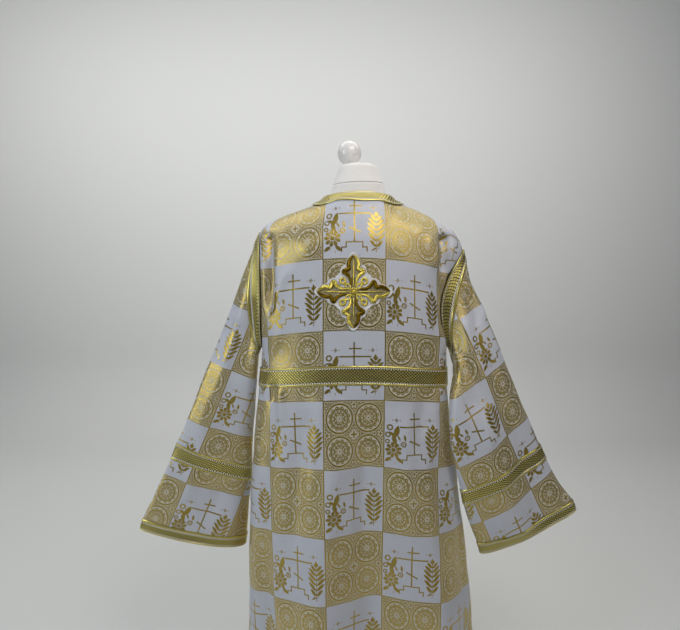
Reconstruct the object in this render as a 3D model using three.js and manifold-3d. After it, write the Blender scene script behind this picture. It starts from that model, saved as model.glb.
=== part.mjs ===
// A sticharion, the long straight church robe with wide sleeves, shown on a limbless dress form
// on a round-based stand. Millimetres, +Z up. The origin is the middle of the stand's underside.
// The robe's back faces -Y and its front +Y, so the wearer's right sleeve is on +X.
import * as THREE from "three";
import Module from "manifold-3d";
import { mergeVertices } from "three/addons/utils/BufferGeometryUtils.js";

// Driving sizes of the robe
const HEM_HEIGHT = 80;
const PIT_ROW = 1135; // height of the row that ends in the two armpits, at the middle of the panel
const CLOTH = 1.8; // thickness of the brocade with its lining
const BRAID = 1.3; // thickness of the gold braid
const LIFT = 0.65; // air between a panel and what is sewn on it
const NECK_LIFT = 2.5; // the same for the neck braid, which crosses the grid of the panels
const SEAM = 0.3; // air between two pieces at a seam
const WIDE_BRAID = 46;
const EDGE_BRAID = 31;
const BAND_MIDDLE = 1058; // height of the wide braid across the back and the chest
const ROUNDNESS = 2.2; // power of the rounded outline that a level cut through the robe has

// Driving sizes of the neckline
const NECK_HALF_WIDTH = 90;
const NECK = {
  back: { depth: 62, height: 1500.5 },
  front: { depth: 84, height: 1452 },
};
const NECK_SIDE_HEIGHT = 1490;
const NECK_RISE = 1.1; // power of the curve that the neckline rises or sinks by
const SHOULDER_DROP = 125; // height over which the cloth turns from the shoulder crest to upright

// Driving sizes of the form and its stand
const BASE_RADIUS = 190;
const BASE_HEIGHT = 16;
const POLE_RADIUS = 16;
const BALL_RADIUS = 31;
const BALL_FOOT = 9;
const BALL_PLACE = { x: -22, y: 13 };

// Grid of the solids
const NECK_COLUMNS = 10; // columns of a panel between the two ends of the neckline
const SIDE_COLUMNS = 9; // and from each end to the side
const SLEEVE_SIDES = 24;

const LOWER_ROWS = [
  HEM_HEIGHT, HEM_HEIGHT + EDGE_BRAID, 250, 400, 560, 720, 880,
  BAND_MIDDLE - WIDE_BRAID / 2, BAND_MIDDLE + WIDE_BRAID / 2, PIT_ROW,
];
const UPPER_ROWS = [0.15, 0.32, 0.48, 0.62, 0.75, 0.86, 0.94, 1];

// Half widths and depths of the robe at each height
const BODY = [
  { z: 80, left: 308, right: 334, back: 172, front: 176 },
  { z: 360, left: 299, right: 322, back: 142, front: 154 },
  { z: 550, left: 297, right: 301, back: 126, front: 142 },
  { z: 770, left: 285, right: 272, back: 118, front: 134 },
  { z: 1007, left: 263, right: 240, back: 115, front: 128 },
  { z: 1135, left: 249, right: 234, back: 115, front: 126 },
  { z: 1290, left: 248, right: 236, back: 116, front: 126 },
  { z: 1420, left: 251, right: 262, back: 112, front: 118 },
];

// How far a woven row sinks at the sides of the robe
const DROOP = [
  { z: 80, sink: 0 },
  { z: 600, sink: 18 },
  { z: 1058, sink: 25 },
  { z: 1135, sink: 23 },
];

// Height of the shoulder crest, by distance from the middle
const SHOULDER = {
  left: [
    { x: 90, z: 1490 }, { x: 121, z: 1475 }, { x: 149, z: 1464 }, { x: 180, z: 1452 },
    { x: 217, z: 1437 }, { x: 239, z: 1424 }, { x: 251, z: 1408 },
  ],
  right: [
    { x: 90, z: 1490 }, { x: 111, z: 1480 }, { x: 160, z: 1459 }, { x: 212, z: 1431 },
    { x: 230, z: 1421 }, { x: 246, z: 1410 }, { x: 262, z: 1388 }, { x: 271, z: 1364 },
  ],
};

// The two armholes: tip at the shoulder, pit under the arm, and how far the seam bows inwards
const ARMHOLE = {
  left: { tipX: 251, tipZ: 1408, pitX: 249, pitZ: 1112, bow: 5, depth: 42 },
  right: { tipX: 271, tipZ: 1364, pitX: 234, pitZ: 1112, bow: 44, depth: 42 },
};

// Sleeve rings from the armhole to the cuff: outer fold, inner fold, and reach to the back and front.
// The taper is how much thinner the sleeve is at its outer fold.
const SLEEVE = {
  left: [
    { at: 0, outX: 252.7, outY: 0, outZ: 1408, inX: 254, inY: 0, inZ: 1110, back: 42, front: 42, taper: 0 },
    { at: 1, outX: 266, outY: 3, outZ: 1379, inX: 263, inY: 3, inZ: 1089, back: 43, front: 46, taper: 0.1 },
    { at: 2, outX: 304, outY: 7, outZ: 1287, inX: 268, inY: 10, inZ: 1036, back: 44, front: 50, taper: 0.25 },
    { at: 3, outX: 346, outY: 9, outZ: 1180, inX: 275, inY: 20, inZ: 985, back: 42, front: 50, taper: 0.35 },
    { at: 4, outX: 404, outY: 10, outZ: 1045, inX: 282, inY: 32, inZ: 915, back: 38, front: 46, taper: 0.4 },
    { at: 5, outX: 459, outY: 10, outZ: 908, inX: 289, inY: 42, inZ: 842, back: 34, front: 42, taper: 0.4 },
    { at: 6, outX: 490, outY: 8, outZ: 843, inX: 294, inY: 46, inZ: 765, back: 32, front: 40, taper: 0.4 },
    { at: 7, outX: 508, outY: 7, outZ: 799, inX: 296, inY: 48, inZ: 720, back: 30, front: 40, taper: 0.4 },
    { at: 8, outX: 548, outY: 4, outZ: 709, inX: 306, inY: 50, inZ: 634, back: 36, front: 38, taper: 0.5 },
    { at: 9, outX: 589, outY: 1, outZ: 630, inX: 314, inY: 52, inZ: 560, back: 46, front: 38, taper: 0.6 },
    { at: 10, outX: 598, outY: 0, outZ: 600, inX: 318, inY: 52, inZ: 528, back: 50, front: 38, taper: 0.6 },
  ],
  right: [
    { at: 0, outX: 272.7, outY: 0, outZ: 1364, inX: 239, inY: 0, inZ: 1110, back: 42, front: 42, taper: 0 },
    { at: 1, outX: 281, outY: -1, outZ: 1335, inX: 249, inY: -6, inZ: 1088, back: 44, front: 42, taper: 0.1 },
    { at: 2, outX: 300, outY: -4, outZ: 1260, inX: 250, inY: -34, inZ: 1042, back: 46, front: 36, taper: 0.25 },
    { at: 3, outX: 345, outY: -8, outZ: 1166, inX: 233, inY: -62, inZ: 985, back: 42, front: 30, taper: 0.3 },
    { at: 4, outX: 392, outY: -10, outZ: 1062, inX: 232, inY: -75, inZ: 905, back: 38, front: 27, taper: 0.3 },
    { at: 5, outX: 440, outY: -10, outZ: 952, inX: 244, inY: -76, inZ: 824, back: 36, front: 26, taper: 0.3 },
    { at: 6, outX: 490, outY: -10, outZ: 849, inX: 265, inY: -68, inZ: 747, back: 34, front: 26, taper: 0.3 },
    { at: 7, outX: 508, outY: -10, outZ: 808, inX: 276, inY: -62, inZ: 704, back: 34, front: 28, taper: 0.3 },
    { at: 8, outX: 550, outY: -10, outZ: 735, inX: 298, inY: -52, inZ: 636, back: 32, front: 32, taper: 0.3 },
    { at: 9, outX: 583, outY: -10, outZ: 690, inX: 319, inY: -44, inZ: 587, back: 30, front: 36, taper: 0.3 },
    { at: 10, outX: 595, outY: -10, outZ: 661, inX: 330, inY: -40, inZ: 556, back: 30, front: 36, taper: 0.3 },
  ],
};

// Folds of the skirt: place across the panel at the band and at the hem, width, and depth at the hem.
// Each starts at height "top" and grows downwards. A trough has a negative depth.
const SKIRT_FOLDS = {
  back: [
    { band: -0.2, hem: -0.24, width: 0.14, depth: 34, top: 1000 },
    { band: 0.08, hem: 0.1, width: 0.13, depth: -44, top: 1000 },
    { band: 0.45, hem: 0.5, width: 0.13, depth: 34, top: 1010 },
    { band: -0.66, hem: -0.6, width: 0.09, depth: -24, top: 1010 },
    { band: 0.78, hem: 0.8, width: 0.09, depth: -20, top: 800 },
  ],
  front: [
    { band: -0.12, hem: -0.08, width: 0.14, depth: 34, top: 1020 },
    { band: 0.26, hem: 0.3, width: 0.12, depth: -38, top: 990 },
    { band: -0.44, hem: -0.42, width: 0.12, depth: -36, top: 960 },
    { band: 0.56, hem: 0.6, width: 0.12, depth: 28, top: 900 },
    { band: -0.74, hem: -0.74, width: 0.1, depth: 22, top: 820 },
  ],
};

// The upright crease between the flat of the panel and each armhole
const SHOULDER_CREASE = {
  left: { x: 221, width: 12, depth: 20, low: 1190, high: 1405 },
  right: { x: 216, width: 14, depth: 26, low: 1270, high: 1405 },
};

// Folds of the sleeves: turn round the ring in degrees (0 outer fold, 90 back, 180 inner fold)
const SLEEVE_FOLDS = {
  left: [
    { turn: 118, drift: -26, width: 20, depth: -8, from: 0.5, to: 6 },
    { turn: 60, drift: 14, width: 18, depth: 5, from: 1, to: 7 },
    { turn: 250, drift: 18, width: 24, depth: -9, from: 0.5, to: 7 },
  ],
  right: [
    { turn: 122, drift: -40, width: 17, depth: -12, from: 0.6, to: 5 },
    { turn: 98, drift: 0, width: 17, depth: 12, from: 4, to: 10.5 },
    { turn: 60, drift: 0, width: 15, depth: -7, from: 4, to: 10.5 },
    { turn: 262, drift: -18, width: 24, depth: -7, from: 0.5, to: 7 },
  ],
};

// Rings of the torso of the form, up to the seam of its neck
const TORSO = [
  { z: 850, half: 160, back: 92, front: 98 },
  { z: 862, half: 170, back: 99, front: 106 },
  { z: 950, half: 170, back: 101, front: 106 },
  { z: 1040, half: 152, back: 95, front: 98 },
  { z: 1120, half: 134, back: 88, front: 92 },
  { z: 1210, half: 152, back: 97, front: 108 },
  { z: 1290, half: 172, back: 103, front: 116 },
  { z: 1350, half: 184, back: 104, front: 108 },
  { z: 1395, half: 182, back: 101, front: 98 },
  { z: 1425, half: 170, back: 94, front: 84 },
  { z: 1444, half: 150, back: 80, front: 68 },
  { z: 1460, half: 121, back: 70, front: 52 },
  { z: 1476, half: 91, back: 62, front: 45 },
  { z: 1494, half: 76, back: 55, front: 47 },
  { z: 1510, half: 69, back: 53, front: 48 },
  { z: 1527, half: 64.5, back: 52, front: 49 },
];
const NECK_CAP = [
  { z: 1527.3, half: 64.3, back: 51.8, front: 48.8 },
  { z: 1549, half: 55, back: 45, front: 45 },
  { z: 1567, half: 50, back: 41, front: 44 },
  { z: 1574, half: 46.5, back: 38, front: 41 },
  { z: 1578, half: 40, back: 31, front: 35 },
];

// The appliqued cross on the back
const CROSS = { x: -14, z: 1261, tip: 92 };

const radians = THREE.MathUtils.degToRad;
const lerp = THREE.MathUtils.lerp;
const clamp = THREE.MathUtils.clamp;

// Smooth step from 0 to 1
function ease(value) {
  const t = clamp(value, 0, 1);
  return t * t * (3 - 2 * t);
}

// Reads a table at any place between its rows, on a smooth curve through them
function readTable(rows, key, at) {
  const last = rows.length - 1;
  const place = clamp(at, rows[0][key], rows[last][key]);
  let i = 0;
  while (i < last - 1 && place > rows[i + 1][key]) i += 1;
  const span = rows[i + 1][key] - rows[i][key];
  const t = (place - rows[i][key]) / span;
  const slope = (k, column) => {
    const low = rows[Math.max(k - 1, 0)];
    const high = rows[Math.min(k + 1, last)];
    return (high[column] - low[column]) / (high[key] - low[key]);
  };
  const found = {};
  for (const column of Object.keys(rows[i])) {
    const [a, b] = [rows[i][column], rows[i + 1][column]];
    const [ma, mb] = [slope(i, column) * span, slope(i + 1, column) * span];
    found[column] =
      (2 * t ** 3 - 3 * t ** 2 + 1) * a + (t ** 3 - 2 * t ** 2 + t) * ma +
      (3 * t ** 2 - 2 * t ** 3) * b + (t ** 3 - t ** 2) * mb;
  }
  return found;
}

// Shares of the half width and of the depth at place u across a panel, from 0 in the middle to 1 at its side
function outline(u) {
  const turn = (Math.PI / 2) * Math.abs(u) ** (ROUNDNESS / 2);
  return {
    wide: Math.sin(turn) ** (2 / ROUNDNESS),
    deep: Math.max(Math.cos(turn), 0) ** (2 / ROUNDNESS),
  };
}

const sideOf = (u) => (u < 0 ? "left" : "right");
const otherPanel = (panel) => (panel === "back" ? "front" : "back");
const facing = (panel) => (panel === "back" ? -1 : 1);

function skirtFold(panel, u, height) {
  let sum = 0;
  for (const fold of SKIRT_FOLDS[panel]) {
    const down = clamp((fold.top - height) / (fold.top - HEM_HEIGHT), 0, 1);
    const place = lerp(fold.band, fold.hem, down);
    sum += fold.depth * down ** 0.85 * Math.exp(-(((u - place) / fold.width) ** 2));
  }
  return sum;
}

// A point of the robe's outside from the hem to the armpits. Past u = 1 it goes on round the other panel.
function lowerPoint(panel, u, height) {
  if (Math.abs(u) > 1) return lowerPoint(otherPanel(panel), Math.sign(u) * 2 - u, height);
  const body = readTable(BODY, "z", height);
  const half = body[sideOf(u)];
  const depth = body[panel];
  const { wide, deep } = outline(u);
  const out = new THREE.Vector2(
    (Math.sign(u) * wide ** (ROUNDNESS - 1)) / half,
    (facing(panel) * deep ** (ROUNDNESS - 1)) / depth,
  ).normalize();
  const fold = skirtFold(panel, u, height);
  return new THREE.Vector3(
    Math.sign(u) * wide * half + out.x * fold,
    facing(panel) * deep * depth + out.y * fold,
    height - readTable(DROOP, "z", height).sink * wide ** 2,
  );
}

// A point of an armhole seam: turn 0 is the shoulder tip, 180 the armpit
function armholePoint(side, panel, turn) {
  const hole = ARMHOLE[side];
  const down = (1 - Math.cos(radians(turn))) / 2;
  const sign = side === "left" ? -1 : 1;
  return new THREE.Vector3(
    sign * (lerp(hole.tipX, hole.pitX, down) - hole.bow * Math.sin(Math.PI * down)),
    facing(panel) * hole.depth * Math.sin(radians(turn)),
    lerp(hole.tipZ, hole.pitZ, down),
  );
}

// The top edge of a panel at place u: the shoulder seam, or the neckline in the middle
function topEdge(panel, u) {
  const side = sideOf(u);
  const x = ARMHOLE[side].tipX * outline(u).wide;
  if (x >= NECK_HALF_WIDTH - 0.01) return { y: 0, z: readTable(SHOULDER[side], "x", x).z };
  const neck = NECK[panel];
  const round = Math.sqrt(1 - (x / NECK_HALF_WIDTH) ** 2);
  return {
    y: facing(panel) * neck.depth * round,
    z: lerp(NECK_SIDE_HEIGHT, neck.height, round ** NECK_RISE),
  };
}

// A point of the robe's outside from the armpits (rise 0) to the shoulder seams and neckline (rise 1)
function upperPoint(panel, u, rise) {
  const side = sideOf(u);
  const { wide, deep } = outline(u);
  const seam = armholePoint(side, panel, THREE.MathUtils.radToDeg(Math.acos(2 * rise - 1)));
  const top = topEdge(panel, u);
  const foot = lowerPoint(panel, u, PIT_ROW).z;
  const z = lerp(foot, top.z, rise);
  const depth = readTable(BODY, "z", z)[panel];
  const fall = clamp((top.z - z) / SHOULDER_DROP, 0, 1);
  const towardsNeck = clamp(1 - Math.abs(u) / 0.55, 0, 1);
  const turned = (1 - (1 - fall) ** 2) ** lerp(0.55, 0.8, ease(towardsNeck));
  const y = deep * (top.y + (facing(panel) * depth - top.y) * turned) + (1 - deep) * seam.y;
  const x = Math.abs(seam.x) * wide;
  const crease = SHOULDER_CREASE[side];
  const along = ease((z - crease.low) / 60) * ease((crease.high - z) / 20);
  const sink = crease.depth * along * Math.exp(-(((x - crease.x) / crease.width) ** 2));
  const inwards = new THREE.Vector2(-Math.sign(u) * 0.45, -facing(panel) * 0.89);
  return new THREE.Vector3(
    Math.sign(u) * x + inwards.x * sink,
    y + inwards.y * sink,
    z,
  );
}

// One point of a sleeve ring: at 0 the armhole to 10 the cuff, turn 0 the outer fold, 90 the back
function sleevePoint(side, at, turn) {
  const ring = readTable(SLEEVE[side], "at", at);
  const sign = side === "left" ? -1 : 1;
  const [c, s] = [Math.cos(radians(turn)), Math.sin(radians(turn))];
  const down = (1 - c) / 2;
  const bow = ARMHOLE[side].bow * Math.sin(Math.PI * down) * ease(1 - at / 3);
  const reach = s > 0 ? ring.back : ring.front;
  const thin = 1 - (ring.taper * (1 + c)) / 2;
  let fold = 0;
  for (const f of SLEEVE_FOLDS[side]) {
    const middle = f.turn + (f.drift * (at - f.from)) / (f.to - f.from);
    const away = ((((turn - middle + 180) % 360) + 360) % 360) - 180;
    const along = ease((at - f.from) / 1.5) * ease((f.to - at) / 1.5);
    fold += f.depth * along * Math.exp(-((away / f.width) ** 2));
  }
  return new THREE.Vector3(
    sign * (lerp(ring.outX, ring.inX, down) - bow),
    lerp(ring.outY, ring.inY, down) - s * (reach * thin + fold),
    lerp(ring.outZ, ring.inZ, down),
  );
}

// The outward normal at every point of a grid of rows
function rowNormals(rows, { closed = false, flip = false } = {}) {
  const [m, n] = [rows.length, rows[0].length];
  const spot = (i, j) => rows[clamp(i, 0, m - 1)][closed ? (j + n) % n : clamp(j, 0, n - 1)];
  return rows.map((row, i) => row.map((_, j) => {
    const across = spot(i, j + 1).clone().sub(spot(i, j - 1));
    const along = spot(i + 1, j).clone().sub(spot(i - 1, j));
    return across.cross(along).normalize().multiplyScalar(flip ? -1 : 1);
  }));
}

// Turns rows of points into a wall: the points are its outside, and it goes "thick" inwards.
// Rows run along the piece, and with "closed" the last column joins the first.
function wall(rows, thick, { closed = false, lift = 0, flip = false, normals = null } = {}) {
  const [m, n] = [rows.length, rows[0].length];
  const outwards = normals || rowNormals(rows, { closed, flip });
  const positions = [];
  for (const depth of [lift, lift - thick]) {
    for (let i = 0; i < m; i += 1) {
      for (let j = 0; j < n; j += 1) {
        const p = rows[i][j].clone().addScaledVector(outwards[i][j], depth);
        positions.push(p.x, p.y, p.z);
      }
    }
  }
  const faces = [];
  const at = (layer, i, j) => layer * m * n + i * n + (closed ? j % n : j);
  const quad = (a, b, c, d) => (flip ? faces.push(a, c, b, a, d, c) : faces.push(a, b, c, a, c, d));
  const columns = closed ? n : n - 1;
  for (let i = 0; i < m - 1; i += 1) {
    for (let j = 0; j < columns; j += 1) {
      quad(at(0, i, j), at(0, i, j + 1), at(0, i + 1, j + 1), at(0, i + 1, j));
      quad(at(1, i, j), at(1, i + 1, j), at(1, i + 1, j + 1), at(1, i, j + 1));
    }
  }
  for (let j = 0; j < columns; j += 1) {
    quad(at(0, 0, j), at(1, 0, j), at(1, 0, j + 1), at(0, 0, j + 1));
    quad(at(0, m - 1, j), at(0, m - 1, j + 1), at(1, m - 1, j + 1), at(1, m - 1, j));
  }
  for (let i = 0; i < m - 1 && !closed; i += 1) {
    quad(at(0, i, 0), at(0, i + 1, 0), at(1, i + 1, 0), at(1, i, 0));
    quad(at(0, i, n - 1), at(1, i, n - 1), at(1, i + 1, n - 1), at(0, i + 1, n - 1));
  }
  return meshData(positions, faces);
}

function meshData(positions, faces) {
  const geometry = new THREE.BufferGeometry();
  geometry.setAttribute("position", new THREE.Float32BufferAttribute(positions, 3));
  geometry.setIndex(faces);
  geometry.computeVertexNormals();
  return geometry;
}

// A solid through level rings, closed by a flat top and bottom
function ringStack(rings, pointOf, sides) {
  const positions = [];
  rings.forEach((ring) => {
    for (let j = 0; j < sides; j += 1) {
      const p = pointOf(ring, (j / sides) * 2 * Math.PI);
      positions.push(p.x, p.y, p.z);
    }
  });
  const faces = [];
  for (let i = 0; i < rings.length - 1; i += 1) {
    for (let j = 0; j < sides; j += 1) {
      const [a, b] = [i * sides + j, i * sides + ((j + 1) % sides)];
      faces.push(a, b, b + sides, a, b + sides, a + sides);
    }
  }
  const top = (rings.length - 1) * sides;
  for (let j = 1; j < sides - 1; j += 1) {
    faces.push(0, j + 1, j);
    faces.push(top, top + j, top + j + 1);
  }
  return meshData(positions, faces);
}

// The place across a panel, from 0 to 1, where the shoulder crest is x from the middle
function placeOf(side, x) {
  const share = (x / ARMHOLE[side].tipX) ** (ROUNDNESS / 2);
  return (Math.asin(share) / (Math.PI / 2)) ** (2 / ROUNDNESS);
}

// Places across a panel, with a column on each end of the neckline
function acrossPanel() {
  const [left, right] = [-placeOf("left", NECK_HALF_WIDTH), placeOf("right", NECK_HALF_WIDTH)];
  const places = [];
  for (let j = 0; j < SIDE_COLUMNS; j += 1) places.push(lerp(-1, left, j / SIDE_COLUMNS));
  for (let j = 0; j < NECK_COLUMNS; j += 1) places.push(lerp(left, right, j / NECK_COLUMNS));
  for (let j = 0; j <= SIDE_COLUMNS; j += 1) places.push(lerp(right, 1, j / SIDE_COLUMNS));
  return places;
}
const PLACES = acrossPanel();
const LAST = PLACES.length - 1;

// The outside of a panel, one row of points after another, from the hem up
function panelRows(panel) {
  const lower = LOWER_ROWS.map((height) => PLACES.map((u) => lowerPoint(panel, u, height)));
  const upper = UPPER_ROWS.map((rise) => PLACES.map((u) => upperPoint(panel, u, rise)));
  return [...lower, ...upper];
}

// Normals of a panel, those on its seams shared with the piece that meets it there
function panelNormals(panel, rows) {
  const normals = rowNormals(rows, { flip: panel === "front" });
  const step = 0.07;
  LOWER_ROWS.forEach((height, i) => {
    for (const [j, u] of [[0, -1], [LAST, 1]]) {
      const before = lowerPoint(panel, u - step, height);
      const after = lowerPoint(panel, u + step, height);
      const across = after.sub(before).multiplyScalar(-facing(panel));
      const along = rows[Math.min(i + 1, LOWER_ROWS.length - 1)][j].clone().sub(rows[Math.max(i - 1, 0)][j]);
      normals[i][j] = across.cross(along).normalize();
    }
  });
  const top = rows.length - 1;
  rows[top].forEach((p, j) => {
    if (Math.abs(p.x) < NECK_HALF_WIDTH - 0.01) return;
    const across = rows[top][Math.min(j + 1, LAST)].clone().sub(rows[top][Math.max(j - 1, 0)]);
    normals[top][j] = new THREE.Vector3(-across.z, 0, across.x).normalize();
  });
  return normals;
}

// Moves the edges of a panel back from the side and shoulder seams
function heldBack(panel, rows) {
  const half = SEAM / 2;
  const top = rows.length - 1;
  rows.forEach((row, i) => {
    for (const j of [0, LAST]) row[j].y += facing(panel) * (i < LOWER_ROWS.length ? half : 0);
  });
  rows[top].forEach((p) => {
    if (Math.abs(p.x) >= NECK_HALF_WIDTH - 0.01) p.y += facing(panel) * half;
  });
  return rows;
}

function panelSolid(panel) {
  const rows = panelRows(panel);
  const normals = panelNormals(panel, rows);
  return wall(heldBack(panel, rows), CLOTH, { flip: panel === "front", normals });
}

// The wide braid across a panel, lying on the row of cloth between its own two edges
function bandSolid(panel) {
  const low = LOWER_ROWS.indexOf(BAND_MIDDLE - WIDE_BRAID / 2);
  const rows = panelRows(panel);
  const normals = panelNormals(panel, rows).slice(low, low + 2);
  return wall(heldBack(panel, rows).slice(low, low + 2), BRAID, {
    lift: LIFT + BRAID,
    flip: panel === "front",
    normals,
  });
}

// The braid round the hem, over both panels
function hemBraid() {
  const ring = (grid, i) => [
    ...grid.back[i].slice(0, LAST),
    ...grid.front[i].slice(1).reverse(),
  ];
  const normals = {
    back: panelNormals("back", OUTSIDE.back),
    front: panelNormals("front", OUTSIDE.front),
  };
  return wall([ring(OUTSIDE, 0), ring(OUTSIDE, 1)], BRAID, {
    closed: true,
    lift: LIFT + BRAID,
    normals: [ring(normals, 0), ring(normals, 1)],
  });
}

// Rings near the armhole lie farther apart at its front and back, so that its braid is as wide all round
const RING_SPREAD = { left: 0.85, right: 0.35 };

function ringPlace(side, at, turn) {
  const near = at < 1 ? at : 1 - ease((at - 1) / 2);
  return at + RING_SPREAD[side] * near * Math.sin(radians(turn)) ** 2;
}

function sleeveRing(side, at) {
  const points = [];
  for (let j = 0; j < SLEEVE_SIDES; j += 1) {
    const turn = (j / SLEEVE_SIDES) * 360;
    points.push(sleevePoint(side, ringPlace(side, at, turn), turn));
  }
  return points;
}

const SLEEVE_ROWS = [0, 1, 1.6, 2.3, 3, 4, 5, 6, 7, 8, 9, 10];

function sleeveSolid(side) {
  const rows = SLEEVE_ROWS.map((at) => sleeveRing(side, at));
  return wall(rows, CLOTH, { closed: true, flip: side === "left" });
}

// Braid round a sleeve between two of its neighbouring rows
function sleeveBraid(side, from, lift = LIFT) {
  const low = SLEEVE_ROWS.indexOf(from);
  const rows = SLEEVE_ROWS.map((at) => sleeveRing(side, at));
  const flip = side === "left";
  const normals = rowNormals(rows, { closed: true, flip }).slice(low, low + 2);
  return wall(rows.slice(low, low + 2), BRAID, { closed: true, lift: lift + BRAID, flip, normals });
}

// The third coordinate of a panel's outside at a spot given by the other two, on its flat facets.
// "drop" is the coordinate to find, and of several answers the outermost in direction "sense" is taken.
function spotOn(rows, drop, spot, sense) {
  const [a, b] = ["x", "y", "z"].filter((axis) => axis !== drop);
  let found = null;
  const test = (p, q, r) => {
    const area = (q[a] - p[a]) * (r[b] - p[b]) - (r[a] - p[a]) * (q[b] - p[b]);
    if (Math.abs(area) < 1e-9) return;
    const s = ((spot[a] - p[a]) * (r[b] - p[b]) - (r[a] - p[a]) * (spot[b] - p[b])) / area;
    const t = ((q[a] - p[a]) * (spot[b] - p[b]) - (spot[a] - p[a]) * (q[b] - p[b])) / area;
    if (s < -0.001 || t < -0.001 || s + t > 1.001) return;
    const value = p[drop] + s * (q[drop] - p[drop]) + t * (r[drop] - p[drop]);
    if (found === null || value * sense > found * sense) found = value;
  };
  for (let i = 0; i < rows.length - 1; i += 1) {
    for (let j = 0; j < rows[0].length - 1; j += 1) {
      test(rows[i][j], rows[i][j + 1], rows[i + 1][j + 1]);
      test(rows[i][j], rows[i + 1][j + 1], rows[i + 1][j]);
    }
  }
  return found;
}
const OUTSIDE = { back: panelRows("back"), front: panelRows("front") };

// The braid round the neckline. Its inner edge follows the cloth's edge, and its outer edge lies on the cloth.
function neckBraid() {
  const sides = 56;
  const shares = [0, 0.35, 0.7, 1];
  const rows = shares.map(() => []);
  for (let j = 0; j < sides; j += 1) {
    const turn = (j / sides) * 2 * Math.PI;
    const [c, s] = [Math.cos(turn), Math.sin(turn)];
    const neck = s < 0 ? NECK.back : NECK.front;
    const edgeX = NECK_HALF_WIDTH * c;
    const edgeY = neck.depth * s;
    const edgeZ = lerp(NECK_SIDE_HEIGHT, neck.height, Math.abs(s) ** NECK_RISE);
    shares.forEach((share, k) => {
      const outwards = EDGE_BRAID * share * lerp(0.85, 0.68, Math.abs(s));
      const x = edgeX + outwards * c;
      const y = edgeY + outwards * s;
      const panel = y < 0 ? "back" : "front";
      const z = share === 0 ? edgeZ : spotOn(OUTSIDE[panel], "z", { x, y }, 1);
      rows[shares.length - 1 - k].push(new THREE.Vector3(x, y, z));
    });
  }
  return wall(rows, BRAID, { closed: true, lift: NECK_LIFT + BRAID });
}

// A point on the yoke of the back, a little proud of the cloth
function onYoke(x, z, proud) {
  return new THREE.Vector3(x, spotOn(OUTSIDE.back, "y", { x, z }, -1) - proud, z);
}

// Outline of the cross as distance from its middle, by turn away from the nearest arm
const CROSS_EDGE = [
  { turn: 0, reach: 92 }, { turn: 6, reach: 86 }, { turn: 12, reach: 76 }, { turn: 16, reach: 70 },
  { turn: 22, reach: 67 }, { turn: 29, reach: 61 }, { turn: 36, reach: 56 }, { turn: 45, reach: 57 },
];

function crossReach(turn) {
  const fromArm = Math.abs((((turn % 90) + 135) % 90) - 45);
  return readTable(CROSS_EDGE, "turn", fromArm).reach * (CROSS.tip / 92);
}

// The pale ground of the cross, a thin plate bent to the yoke
function crossGround() {
  const [sides, proud, thick] = [48, 0.6, 1.6];
  const rings = [0.35, 0.7, 1];
  const positions = [];
  const put = (x, z, height) => {
    const p = onYoke(CROSS.x + x, CROSS.z + z, height);
    positions.push(p.x, p.y, p.z);
  };
  for (const height of [proud + thick, proud]) {
    put(0, 0, height);
    for (const share of rings) {
      for (let j = 0; j < sides; j += 1) {
        const turn = (j / sides) * 360;
        const reach = crossReach(turn) * share;
        put(reach * Math.cos(radians(turn)), reach * Math.sin(radians(turn)), height);
      }
    }
  }
  const layer = 1 + rings.length * sides;
  const faces = [];
  for (let j = 0; j < sides; j += 1) {
    const next = (j + 1) % sides;
    faces.push(0, 1 + j, 1 + next, layer, layer + 1 + next, layer + 1 + j);
    for (let k = 0; k < rings.length - 1; k += 1) {
      const [a, b] = [1 + k * sides + j, 1 + k * sides + next];
      faces.push(a, a + sides, b + sides, a, b + sides, b);
      faces.push(layer + a, layer + b + sides, layer + a + sides, layer + a, layer + b, layer + b + sides);
    }
    const [a, b] = [1 + (rings.length - 1) * sides + j, 1 + (rings.length - 1) * sides + next];
    faces.push(a, layer + a, layer + b, a, layer + b, b);
  }
  return meshData(positions, faces);
}

// Half of one arm's gold edge, from beside the middle to the tip, and the small scrolls between the arms
const ARM_EDGE = [
  { along: 6, across: 4 }, { along: 34, across: 10 }, { along: 48, across: 22 }, { along: 56, across: 25 },
  { along: 59, across: 15 }, { along: 70, across: 15 }, { along: 79, across: 9 }, { along: 88, across: 0 },
];
const SCROLL_RING = { from: 37, radius: 7 };

// A padded gold cord laid on the cross along a line of spots
function goldCord(spots, width, turned) {
  const height = 2.2 + width / 2 + LIFT;
  const points = spots.map(([x, z]) => {
    const [c, s] = [Math.cos(radians(turned)), Math.sin(radians(turned))];
    return onYoke(CROSS.x + x * c - z * s, CROSS.z + x * s + z * c, height);
  });
  const path = new THREE.CatmullRomCurve3(points, false, "centripetal");
  const section = new THREE.Shape();
  for (let k = 0; k < 6; k += 1) {
    const turn = (k / 6) * 2 * Math.PI;
    section[k ? "lineTo" : "moveTo"]((width / 2) * Math.cos(turn), (width / 2) * Math.sin(turn));
  }
  return new THREE.ExtrudeGeometry(section, { steps: Math.round(spots.length * 1.4), extrudePath: path, curveSegments: 1 });
}

function goldRing(turned) {
  const centre = onYoke(
    CROSS.x + SCROLL_RING.from * Math.SQRT1_2 * (Math.cos(radians(turned)) - Math.sin(radians(turned))),
    CROSS.z + SCROLL_RING.from * Math.SQRT1_2 * (Math.sin(radians(turned)) + Math.cos(radians(turned))),
    2.2 + 1.6 + LIFT,
  );
  const ring = new THREE.TorusGeometry(SCROLL_RING.radius, 1.6, 5, 10);
  ring.rotateX(Math.PI / 2);
  ring.translate(centre.x, centre.y, centre.z);
  return ring;
}

const wasm = await Module();
wasm.setup();

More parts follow.
